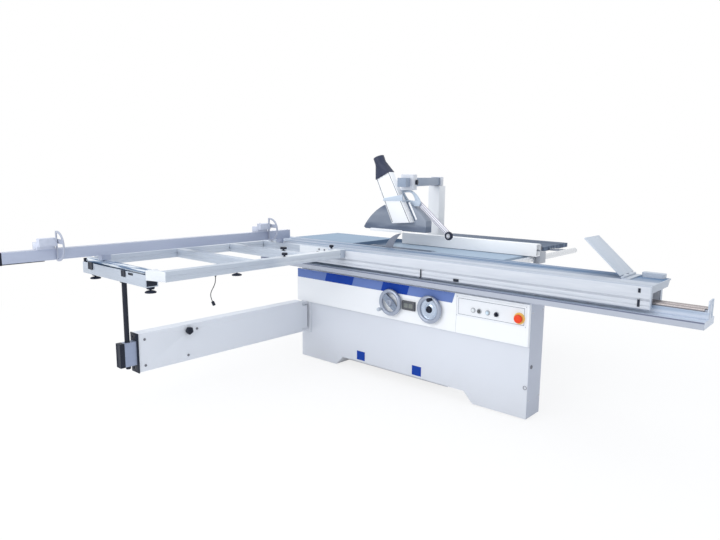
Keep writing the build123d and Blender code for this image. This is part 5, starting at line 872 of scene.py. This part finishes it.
def levelling_foot(x, y, top, drop):
    """Block, stem and rounded disc of one foot."""
    shoe = block("foot_block", (x - SHOE_HALF, y - SHOE_HALF, top - SHOE_HIGH),
                 (x + SHOE_HALF, y + SHOE_HALF, top))
    tapered(shoe, DOWNWARD, (0.86, 0.86, 1.0), (x, y, top - SHOE_HIGH))
    profile = [(-0.010, 0.0), (-0.010, 0.006)]
    for thread in range(int((drop - SHOE_HIGH) / THREAD_PITCH)):
        profile += [(-0.0135 - THREAD_PITCH * thread, 0.006), (-0.0155 - THREAD_PITCH * thread, 0.0052)]
    disc = [(0.0, 0.006), (0.001, 0.016), (0.005, 0.027), (0.008, 0.0315), (0.011, 0.032), (0.0135, 0.031),
            (0.014, 0.028), (0.014, 0.0)]
    profile += [(-drop - along, radius) for along, radius in disc]
    foot = turned("foot", (x, y, top), UPWARD, profile, 36)
    return [round_off(shoe, 0.0015), round_off(foot, 0.0)]


feet = levelling_foot(-0.385, OUTER_BAR_Y, BAR_LOW, 0.044)
feet += levelling_foot(-0.336, BEAM_Y, BEAM_LOW, 0.020) + levelling_foot(-1.000, BEAM_Y, BEAM_LOW, 0.020)
settle(joined("frame_levelling_feet", feet), black_rubber, "carriage", "rubber", "frame_feet")


# Low lobed knobs of black plastic clamp the bars, each moulded on a steel stud.
# The stud that the fence swings about stands on the inner bar beside them.
LOBES, KNOB_STEPS = 5, 45


def lobed_knob(name, foot, axis, radius, height, stem):
    """A lobed knob with a domed crown on a short stem, from its foot along an axis."""
    line = Vector(axis)
    side = line.orthogonal().normalized()
    other = line.cross(side)
    low = Vector(foot) + line * stem
    outline = []
    for step in range(KNOB_STEPS):
        angle = 2.0 * math.pi * step / KNOB_STEPS
        reach = radius * (0.93 + 0.07 * math.cos(LOBES * angle))
        outline.append(low + side * (reach * math.cos(angle)) + other * (reach * math.sin(angle)))
    head = drawn(name, outline, line * (height * 0.8))
    pick(head, facing(axis))
    bpy.ops.mesh.inset(thickness=radius * 0.18)
    bpy.ops.transform.translate(value=line * (height * 0.14))
    bpy.ops.mesh.inset(thickness=radius * 0.30)
    bpy.ops.transform.translate(value=line * (height * 0.06))
    done()
    post_profile = [(0.0, 0.0), (0.0, 0.0068), (stem + 0.002, 0.0068), (stem + 0.002, 0.0)]
    post = turned(name, foot, axis, post_profile, 20)
    return joined(name, [round_off(head, radius * 0.07, 50.0, 3), round_off(post, 0.0)])


FENCE_X = -0.861
KNOB_PLACES = [(-0.449, CROSS_BAR_Y, 0.024), (FRONT_BAR_X, -0.900, 0.020), (-0.300, INNER_BAR_Y, 0.017),
               (-0.960, INNER_BAR_Y, 0.017)]
knobs = [lobed_knob("clamp_knob", (x, y, BAR_TOP), UPWARD, radius, 0.017, 0.009)
         for x, y, radius in KNOB_PLACES]
settle(joined("frame_clamp_knobs", knobs), black_plastic, "carriage", "black_plastic", "frame_knobs")
stud_profile = [(0.0, 0.0), (0.0, 0.012), (0.0288, 0.012), (0.030, 0.0105), (0.030, 0.0)]
stud = turned("fence_stud", (FENCE_X, INNER_BAR_Y, BAR_TOP), UPWARD, stud_profile, 32)
settle(round_off(stud, 0.0), bright_steel, "carriage", "steel", "frame_knobs")

# A thin lead hangs from a gland under the front bar and ends in a small connector.
# It sags in a loose double curve under its own weight.
LEAD_Y, LEAD_EXIT_Z = -1.434, 0.830
route = [Vector((FRONT_BAR_X, LEAD_Y, LEAD_EXIT_Z))]
for step in ((0.0, 0.0, -0.028), (-0.002, -0.013, -0.030), (-0.003, -0.018, -0.028), (0.0, -0.004, -0.030),
             (0.002, 0.012, -0.028)):
    route.append(route[-1] + Vector(step))
line = bpy.data.curves.new("lead_line", "CURVE")
line.dimensions = "3D"
spline = line.splines.new("NURBS")
spline.points.add(len(route) - 1)
for point, place in zip(spline.points, route):
    point.co = (*place, 1.0)
spline.order_u = 3
spline.use_endpoint_u = True
line.resolution_u = 16
line.bevel_depth = 0.0025
line.bevel_resolution = 4
line.use_fill_caps = True
lead = bpy.data.objects.new("hanging_lead", line)
bpy.context.scene.collection.objects.link(lead)
lead_grey = moulded("lead_grey", (0.075, 0.076, 0.080), 0.55, 700.0, 0.00005)
settle(lead, lead_grey, "carriage", "rubber", "lead_cord")
gland_profile = [(0.0, 0.0), (0.0, 0.0065), (0.005, 0.0065), (0.006, 0.0055), (0.009, 0.0050),
                 (0.012, 0.0030), (0.012, 0.0)]
gland = turned("lead_gland", (FRONT_BAR_X, LEAD_Y, BAR_LOW), DOWNWARD, gland_profile, 6)
settle(round_off(gland, 0.0004), black_plastic, "carriage", "black_plastic", "lead_fittings")
fall = (route[-1] - route[-2]).normalized()
plug_side = Vector(TO_RIGHT) - fall * fall.x
plug_side.normalize()
plug_wide = fall.cross(plug_side)
plug_corners = [route[-1] + plug_side * (0.006 * a) + plug_wide * (0.0075 * b)
                for a, b in ((-1, -1), (1, -1), (1, 1), (-1, 1))]
plug = drawn("lead_connector", plug_corners, fall * 0.026)
pressed(plug, fall, 0.0018, sunk=fall * -0.006)
settle(round_off(plug, 0.0008), black_plastic, "carriage", "black_plastic", "lead_fittings")

# The swing arm is a box folded from sheet that turns about an upright pin on the base.
# Its white is the base's paint made lighter as painted light, with a black frame, screws and a knob at its
# end.
ARM_SIDE, ARM_KNOB_Y, ARM_KNOB_Z = -0.609, -1.375, 0.426
skin("arm_bracket", base_white, 0.001, "base", "white_paint")
# The arm's paint is painted light: the base's white made lighter.
arm_lit_white = powder_coat("arm_lit_white", (0.745, 0.77, 0.82))
skin("swing_arm", arm_lit_white, 0.0012, "arm", "white_paint")
end_frame = block("arm_end_plate", (-0.693, -1.726, 0.222), (-0.605, -1.720, 0.468))
cut(end_frame, block("tube_window", (-0.6745, -1.740, 0.2725), (-0.6235, -1.700, 0.4195)))
for hole_z in (0.248, 0.444):
    bore(end_frame, (-0.661, -1.740, hole_z), TO_BACK, 0.040, 0.006, 24)
settle(round_off(end_frame, 0.0007), black_plastic, "arm", "black_plastic", "arm_end_frame")
boss_profile = [(0.0, 0.0061), (0.0, 0.014), (0.004, 0.014), (0.006, 0.0125), (0.006, 0.0061), (0.0, 0.0061)]
boss = turned("arm_knob_boss", (ARM_SIDE, ARM_KNOB_Y, ARM_KNOB_Z), TO_RIGHT, boss_profile, 32)
settle(round_off(boss, 0.0), dark_steel, "arm", "black_plastic", "arm_end_frame")
side_screw_places = [(ARM_SIDE, -1.680, 0.426), (ARM_SIDE, -1.680, 0.262), (ARM_SIDE, -1.381, 0.262),
                     (ARM_SIDE, -1.311, 0.426)]
side_screws = screws("arm_side_screws", side_screw_places, TO_RIGHT, 0.008)
settle(side_screws, dark_steel, "arm", "steel", "arm_end_frame")
arm_knob = lobed_knob("arm_clamp_knob", (-0.613, ARM_KNOB_Y, ARM_KNOB_Z), TO_RIGHT, 0.025, 0.021, 0.011)
settle(arm_knob, black_plastic, "arm_knob", "black_plastic", "arm_lock_knob")

# The inner tube slides out of the arm and carries the black support post.
# The post is a steel bar with a rubber head that stands just under the outer beam.
tube_alloy = anodised("tube_alloy", (0.31, 0.36, 0.49), (420.0, 3.0, 60.0), 0.40, 0.4, 0.3)
skin("inner_tube", tube_alloy, 0.0008, "tube", "aluminium")
post_profile = [(0.0, 0.0), (0.0, 0.013), (0.002, 0.015), (0.5305, 0.015), (0.5325, 0.021), (0.535, 0.024),
                (0.544, 0.024), (0.5465, 0.022), (0.5465, 0.0)]
post = turned("support_bar", (-0.649, -1.770, 0.253), UPWARD, post_profile, 36)
post_black = moulded("post_black", (0.014, 0.017, 0.028), 0.40, 500.0, 0.00006)
settle(round_off(post, 0.0), post_black, "tube", "black_plastic", "support_post")
tube_cap = block("tube_end_cap", (-0.675, -1.830, 0.272), (-0.623, -1.800, 0.420))
pressed(tube_cap, TO_FRONT, 0.006, sunk=(0.0, 0.003, 0.0))
settle(round_off(tube_cap, 0.002, steps=3), black_plastic, "tube", "black_plastic", "support_post")

# The crosscut fence is a hollow extrusion with a scale groove, clamped across the frame.
# An inner profile pulls out of its outer end, which a black moulded cap closes.
SLIDE_END, UNDER_BAR_END, FENCE_FLAT = -2.3543, -2.1293, 0.9952
fence_grey = Finish("fence_grey", Metallic=0.3, Specular_IOR_Level=0.3)
grain = fence_grey.noise((420.0, 3.0, 420.0), 3.0)
flat = fence_grey.axis("Z") > FENCE_FLAT
scale = fence_grey.axis("X") - FENCE_X
face = fence_grey.mix(rgb(0.41, 0.455, 0.585), rgb(0.47, 0.515, 0.64), grain)
upper = fence_grey.mix(rgb(0.74, 0.76, 0.82), rgb(0.10, 0.12, 0.18), (scale > 0.006) * (scale < 0.016))
fence_grey.feed({"Base Color": fence_grey.mix(face, upper, flat)})
fence_grey.feed({"Roughness": 0.46 + 0.16 * (grain - 0.5)})
fence_grey.bump(grain, LINE_DEPTH)
skin("crosscut_fence", fence_grey, 0.0008, "crosscut", "aluminium")
slide = block("fence_slide", (-0.8845, SLIDE_END, 0.9375), (-0.8375, -1.204, 0.9905))
pressed(slide, TO_FRONT, 0.004, sunk=(0.0, 0.060, 0.0))
settle(round_off(slide, 0.0005), bar_along_y, "extension", "aluminium", "fence_extension")
cap = block("fence_cap", (-0.890, -2.3993, 0.925), (-0.832, SLIDE_END, 0.996))
pressed(cap, TO_FRONT, 0.007, sunk=(0.0, 0.004, 0.0))
under_bar = block("fence_under_bar", (-0.875, SLIDE_END, 0.925), (-0.847, UNDER_BAR_END, 0.9315))
tapered(under_bar, TO_BACK, (0.7, 1.0, 1.0), (FENCE_X, UNDER_BAR_END, 0.928))
cap = joined("fence_end_cap", [round_off(cap, 0.003, steps=3), round_off(under_bar, 0.0006)])
settle(cap, black_plastic, "extension", "black_plastic", "fence_extension")

# Two length stops slide along the fence, each with a half-moon flag that flips up.
# Sliders are moulded in pale plastic, and the flags are cast in grey alloy.
STOP_MIDDLES = {"outer": -2.125, "inner": -0.571}
PIN_X, PIN_REACH, PIN_Z = -0.811, 0.0575, 1.040
EYE_X, EYE_Y = -0.850, -0.579
stop_pale = moulded("stop_pale", (0.50, 0.53, 0.62), 0.40, 700.0, 0.00008)
flag_alloy = anodised("flag_alloy", (0.42, 0.45, 0.54), (120.0, 120.0, 120.0), 0.42, 0.3, 0.3)
pin_profile = [(0.0, 0.0), (0.0, 0.0085), (0.002, 0.0085), (0.0035, 0.007), (0.0035, 0.0)]
for stop, middle in STOP_MIDDLES.items():
    skin(stop + "_stop", stop_pale, 0.003, stop + "_slider", "grey_plastic")
    skin(stop + "_flag", flag_alloy, 0.0016, stop + "_flip", "aluminium")
    pin = turned(stop + "_flag_pin", (PIN_X, middle + PIN_REACH, PIN_Z), TO_BACK, pin_profile, 24)
    settle(round_off(pin, 0.0), dark_steel, stop + "_slider", "steel")
lens = block("outer_stop_lens", (-0.866, -2.160, 1.034), (-0.840, -2.092, 1.052))
pressed(lens, UPWARD, 0.004, -0.002)
settle(round_off(lens, 0.0015), lens_pale, "outer_slider", "grey_plastic")
ring = turned("inner_stop_ring", (EYE_X, EYE_Y, 1.050), TO_RIGHT, round_wire(0.0095, 0.0035, 30), 32)
neck_profile = [(0.0, 0.0), (0.0, 0.008), (0.004, 0.008), (0.007, 0.004), (0.010, 0.004), (0.010, 0.0)]
neck = turned("inner_stop_neck", (EYE_X, EYE_Y, 1.032), UPWARD, neck_profile, 24)
eye_ring = joined("inner_stop_eye", [round_off(ring, 0.0), round_off(neck, 0.0)])
settle(eye_ring, bright_steel, "inner_slider", "steel")

# The main table is a ground iron casting on the cabinet, with an insert beside the blade.
# Two pressed trays on flat stays carry it on behind the blade and under the rip fence.
ground_iron = Finish("ground_iron", Specular_IOR_Level=0.0)
stone = ground_iron.noise((60.0, 9.0, 60.0), 3.0)
cloud = ground_iron.noise((5.0, 5.0, 5.0), 3.0, (1.0, 4.0, 2.0))
# Left of the blade the iron is painted dark and dull: painted shadow and dark reflection of the hood over
# it.
hood_shade = ground_iron.between(ground_iron.axis("X") + 0.16 * (cloud - 0.5), -0.280, -0.020, 1.0, 0.0)
iron = ground_iron.mix(rgb(0.34, 0.425, 0.525), rgb(0.45, 0.545, 0.655), stone)
ground_iron.feed({"Base Color": ground_iron.mix(iron, rgb(0.070, 0.105, 0.165), hood_shade)})
ground_iron.feed({"Roughness": 0.48 + 0.14 * (stone - 0.5) + 0.08 * (cloud - 0.5)})
ground_iron.feed({"Metallic": 0.25 * (1.0 - hood_shade)})
ground_iron.bump(stone, LINE_DEPTH)
skin("table_main", ground_iron, 0.001, "base", "cast_iron")
insert_steel = anodised("insert_steel", (0.14, 0.18, 0.25), (30.0, 90.0, 60.0), 0.5, 0.2, 0.1)
skin("table_insert", insert_steel, 0.0005, "base", "steel")
tray_grey = Finish("tray_grey", Specular_IOR_Level=0.12)
rub = tray_grey.noise((1.2, 22.0, 1.0), 3.0)
# Beyond y 0.51 the tray is darker, with ribbed streaks.
beyond = tray_grey.between(tray_grey.axis("Y"), 0.505, 0.520)
tray = tray_grey.mix(rgb(0.20, 0.295, 0.41), rgb(0.29, 0.385, 0.50), rub)
ridge = tray_grey.between(tray_grey.noise((0.6, 46.0, 1.0), 2.0), 0.42, 0.58)
dark_ribbed_tray = tray_grey.mix(rgb(0.060, 0.085, 0.135), rgb(0.135, 0.175, 0.245), ridge)
tray_grey.feed({"Base Color": tray_grey.mix(tray, dark_ribbed_tray, beyond)})
tray_grey.feed({"Roughness": 0.58 + 0.12 * (rub - 0.5)})
paint("table_extensions", tray_grey)

# A round guide bar runs along the operator's edge of the tables on three brackets.
# The rip fence, a white coated extrusion, rides on it with a cast carrier and a lock knob.
paint("guide_bar", bright_steel)
skin("rip_carrier", shade_grey, 0.002, "rip", "grey_paint")
rip_knob = lobed_knob("rip_clamp_knob", (0.940, 0.3703, 0.909), UPWARD, 0.020, 0.028, 0.029)
settle(rip_knob, black_plastic, "rip_lock", "black_plastic", "rip_lock_knob")
skin("rip_fence", clean_white, 0.001, "rip_profile", "white_paint")

# A square column behind the tables holds the boom from which the blade guard hangs.
# The boom slides in a clamp on the column, and its head block guides the guard's lift rod.
SMALL_CAP, HEAD_BLOCK_LOW, HEAD_BLOCK_HIGH = 0.05, 0.10, 0.12
boom_grey = powder_coat("boom_grey", (0.29, 0.35, 0.45))
head_pale = powder_coat("head_pale", (0.73, 0.75, 0.80))
foot_plate, column_tube, column_clamp = shells("column")
settle(round_off(foot_plate, 0.002), shade_grey, "base", "white_paint", "column")
settle(round_off(column_tube, 0.004, steps=3), clean_white, "base", "white_paint", "column")
settle(round_off(column_clamp, 0.003, steps=3), head_pale, "base", "white_paint", "column")
for shell in shells("boom"):
    finish, slot = boom_grey, "white_paint"
    if max(shell.dimensions) < SMALL_CAP:
        finish, slot = black_plastic, "black_plastic"
    if HEAD_BLOCK_LOW < shell.dimensions.z < HEAD_BLOCK_HIGH:
        finish = head_pale
    settle(round_off(shell, 0.002, steps=3), finish, "boom", slot, "boom")

# The blade guard is a sheet hood open below, in grey-blue paint, with a looped hanger.
# A flat white duct leans up its near side into a black rubber hose adapter.
SKIRT_FACE, SHADOW_LINE_FACE, SIDE_FACE = -0.0355, -0.0849, -0.0349
hood_grey = Finish("hood_grey", Specular_IOR_Level=0.35)
smear = hood_grey.noise((5.0, 5.0, 22.0), 4.0)
hood_high = hood_grey.axis("Z") + 0.06 * (smear - 0.5)
hood_along = hood_grey.axis("X")
low_band = hood_grey.between(hood_high, 1.050, 1.085, 1.0, 0.0)
crown = hood_grey.between(hood_high, 1.150, 1.205) * hood_grey.between(hood_along, 0.0, 0.12, 1.0, 0.0)
side_on = hood_grey.between(hood_along, 0.10, 0.26)
coat = hood_grey.mix(rgb(0.185, 0.215, 0.275), rgb(0.29, 0.325, 0.39), smear + 0.6 * side_on)
dark_share = 0.62 * low_band + 0.75 * crown
hood_grey.feed({"Base Color": hood_grey.mix(coat, rgb(0.085, 0.115, 0.18), dark_share)})
hood_grey.feed({"Roughness": 0.42 + 0.14 * (smear - 0.5)})
hood_grey.bump(hood_grey.noise((420.0, 420.0, 420.0), 2.0), 0.0001)
hood = shells("guard_hood", 0.0)[0]
settle(round_off(hood, 0.0008), hood_grey, "guard", "grey_paint", "guard_hood")
skirt_line = [(-0.225, 1.016), (0.070, 1.016), (0.082, 1.036), (-0.215, 1.036)]
skirt = drawn("guard_skirt", [(x, SKIRT_FACE, z) for x, z in skirt_line], (0.0, -0.002, 0.0))
settle(round_off(skirt, 0.0005), clean_white, "guard", "white_paint")
duct, adapter = shells("guard_duct")
settle(round_off(duct, 0.0012), clean_white, "guard", "white_paint", "guard_duct")
# The adapter is black rubber, made lighter and bluer as a painted sheen.
adapter_black_sheen = moulded("adapter_black_sheen", (0.036, 0.044, 0.078), 0.42, 500.0, 0.0001)
settle(round_off(adapter, 0.003, steps=3), adapter_black_sheen, "guard", "rubber", "guard_duct")


def duct_strip(name, foot, head, near, far, face, finish, slot):
    """A flat strip beside the line from the foot to the head of a duct's edge, proud of a face."""
    foot, head = Vector((foot[0], 0.0, foot[1])), Vector((head[0], 0.0, head[1]))
    along = (head - foot).normalized()
    beside = Vector((along.z, 0.0, -along.x))
    corners = [foot + beside * near, foot + beside * far, head + beside * far, head + beside * near]
    strip = drawn(name, [(spot.x, face, spot.z) for spot in corners], (0.0, -0.0015, 0.0))
    settle(round_off(strip, 0.0004), finish, "guard", slot)


LEFT_EDGE = (0.023, 1.090), (-0.126, 1.389)
RIGHT_EDGE = (0.188, 1.104), (-0.006, 1.445)
NEAR_EDGE = (0.186, 1.108), (0.118, 1.227)
# Three thin dark strips, on both edges of the duct's face and beside its near edge, are painted shadow of
# the gaps at its flanges.
duct_strip("duct_shadow_line_left", *LEFT_EDGE, 0.006, 0.0105, SHADOW_LINE_FACE, dark_steel, "steel")
duct_strip("duct_shadow_line_right", *RIGHT_EDGE, -0.0105, -0.006, SHADOW_LINE_FACE, dark_steel, "steel")
duct_strip("duct_gap_shadow", *NEAR_EDGE, 0.004, 0.013, SIDE_FACE, insert_steel, "steel")
duct_strip("duct_side_strip", *NEAR_EDGE, 0.014, 0.028, SIDE_FACE, clean_white, "white_paint")
hanger_blue = powder_coat("hanger_blue", (0.56, 0.64, 0.74), 0.34)
skin("guard_hanger", hanger_blue, 0.001, "guard", "grey_paint")

# A flat strut hinged on the hanger ends in a small wheel that rides on the work.
# The wheel is a rubber tyre on a pale hub.
RIDER = (0.456, -0.014, 1.020)
strut_grey = Finish("strut_grey", Metallic=0.3, Specular_IOR_Level=0.3)
# Two dark lines along the strut and dark bands at its edges are painted shade, for its grooves and edges.
beside = 0.624 * strut_grey.axis("X") + 0.781 * strut_grey.axis("Z") - 1.0812
lines = (beside > 0.0045) * (beside < 0.0085) + (beside > -0.0085) * (beside < -0.0045)
lines = lines + (beside > 0.0165) + (beside < -0.0165)
strut_grey.feed({"Base Color": strut_grey.mix(rgb(0.80, 0.80, 0.85), rgb(0.27, 0.25, 0.31), lines * 0.75)})
strut_grey.feed({"Roughness": 0.36 + 0.20 * strut_grey.noise((60.0, 60.0, 60.0))})
skin("guard_strut", strut_grey, 0.0012, "strut", "aluminium")
tyre_profile = [(0.001, 0.016), (0.0, 0.018), (0.0, 0.025), (0.003, 0.0285), (0.006, 0.029), (0.016, 0.029),
                (0.019, 0.0285), (0.022, 0.025), (0.022, 0.018), (0.021, 0.016), (0.001, 0.016)]
tyre = turned("riding_tyre", RIDER, TO_BACK, tyre_profile, 40)
settle(round_off(tyre, 0.0), black_rubber, "rider", "rubber", "riding_wheel")
hub_profile = [(0.002, 0.00505), (0.001, 0.008), (0.002, 0.0162), (0.020, 0.0162), (0.021, 0.008),
               (0.020, 0.00505), (0.002, 0.00505)]
hub = turned("riding_hub", RIDER, TO_BACK, hub_profile, 32)
settle(round_off(hub, 0.0), ring_grey, "rider", "grey_plastic", "riding_wheel")

# The saw unit hangs on curved trunnions inside the cabinet: motor, belt, arbor and blades.
# Its castings are left grey, and the blades and pulleys are bright ground steel.
blade_steel = anodised("blade_steel", (0.66, 0.68, 0.71), (260.0, 20.0, 260.0), 0.22)
paint("main_blade", blade_steel)
paint("scoring_blade", blade_steel)
unit_iron = anodised("unit_iron", (0.30, 0.325, 0.39), (60.0, 60.0, 60.0), 0.45, 0.3, 0.2)
paint("arbor_housing", unit_iron)
paint("motor", shade_grey)
paint("motor_pulley", bright_steel)
paint("tilt_frame", shade_grey)

# The floor is a plain pale studio sheet that keeps the shadow of the machine.
# It fades to white away from the machine, so that it has no edge behind it.
SEEN_BY = ("Is Camera Ray", "Is Glossy Ray", "Is Transmission Ray")
FLOOR_SIZE, FLOOR_Z = 60.0, -0.001
bpy.ops.object.select_all(action="DESELECT")
bpy.ops.mesh.primitive_grid_add(x_subdivisions=4, y_subdivisions=4, size=FLOOR_SIZE,
                                location=(0.0, 0.0, FLOOR_Z))
floor = bpy.context.object
floor.name = "studio_floor"
paper = Finish("studio_paper", Base_Color=rgb(0.90, 0.90, 0.91), Roughness=0.9)
glow = paper.node("ShaderNodeEmission", {}, {"Color": rgb(1.0, 1.0, 1.0), "Strength": 1.0})
ray, shine, clear = [paper.node("ShaderNodeLightPath", {}, {}, kind) for kind in SEEN_BY]
from_machine = paper.node("ShaderNodeVectorMath", {"operation": "DISTANCE"},
                          {0: paper.spot, 1: (0.0, -0.4, 0.0)}, "Value")
fade = paper.between(from_machine, 1.6, 4.5, 0.80, 1.0)
matt = Socket(paper.tree, paper.shader.outputs[0])
sheet = paper.node("ShaderNodeMixShader", {}, {0: (ray + shine + clear) * fade, 1: matt, 2: glow})
paper.tree.links.new(sheet.out, paper.tree.nodes["Material Output"].inputs["Surface"])
floor.data.materials.append(paper.material)

# The light is that of a bright overcast day: an even pale sky with three weak soft boxes.
# The camera, and bright metal, see plain white behind the machine.
world = bpy.data.worlds.new("studio")
bpy.context.scene.world = world
world.use_nodes = True
air = Nodes(world.node_tree)
way = air.node("ShaderNodeTexCoord", {}, {}, "Generated")
height = air.node("ShaderNodeSeparateXYZ", {}, {0: way}, "Z")
sky_range = {"Value": height, "From Min": 0.0, "From Max": 1.0, "To Min": 0.47, "To Max": 1.30}
sky_level = air.node("ShaderNodeMapRange", {}, sky_range)
sky_node = air.tree.nodes["Background"]
sky_node.inputs["Color"].default_value = rgb(0.91, 0.95, 1.0)
air.tree.links.new(sky_level.out, sky_node.inputs["Strength"])
soft_light = Socket(air.tree, sky_node.outputs[0])
white_wall = air.node("ShaderNodeBackground", {}, {"Color": rgb(1.0, 1.0, 1.0)})
ray, shine, clear = [air.node("ShaderNodeLightPath", {}, {}, kind) for kind in SEEN_BY]
direct = ray.math("MAXIMUM", ray, shine)
either = ray.math("MAXIMUM", direct, clear)
backdrop = air.node("ShaderNodeMixShader", {}, {0: either, 1: soft_light, 2: white_wall})
air.tree.links.new(backdrop.out, air.tree.nodes["World Output"].inputs["Surface"])


def soft_box(name, place, aim, size, power):
    """A rectangular lamp aimed at a point."""
    lamp = bpy.data.lights.new(name, "AREA")
    lamp.shape = "RECTANGLE"
    lamp.size, lamp.size_y = size
    lamp.energy = power
    holder = bpy.data.objects.new(name, lamp)
    bpy.context.scene.collection.objects.link(holder)
    holder.location = place
    holder.rotation_mode = "QUATERNION"
    holder.rotation_quaternion = (Vector(aim) - Vector(place)).to_track_quat("-Z", "Y")


soft_box("front_box", (-1.0, -7.0, 3.6), (0.3, -0.3, 0.5), (6.0, 4.0), 200.0)
soft_box("top_box", (-0.3, 0.3, 6.0), (0.0, -0.4, 0.8), (6.0, 5.0), 30.0)
soft_box("back_box", (-4.5, 4.5, 3.2), (0.0, 0.0, 0.8), (4.0, 3.0), 40.0)

bpy.context.scene.view_settings.view_transform = "Standard"
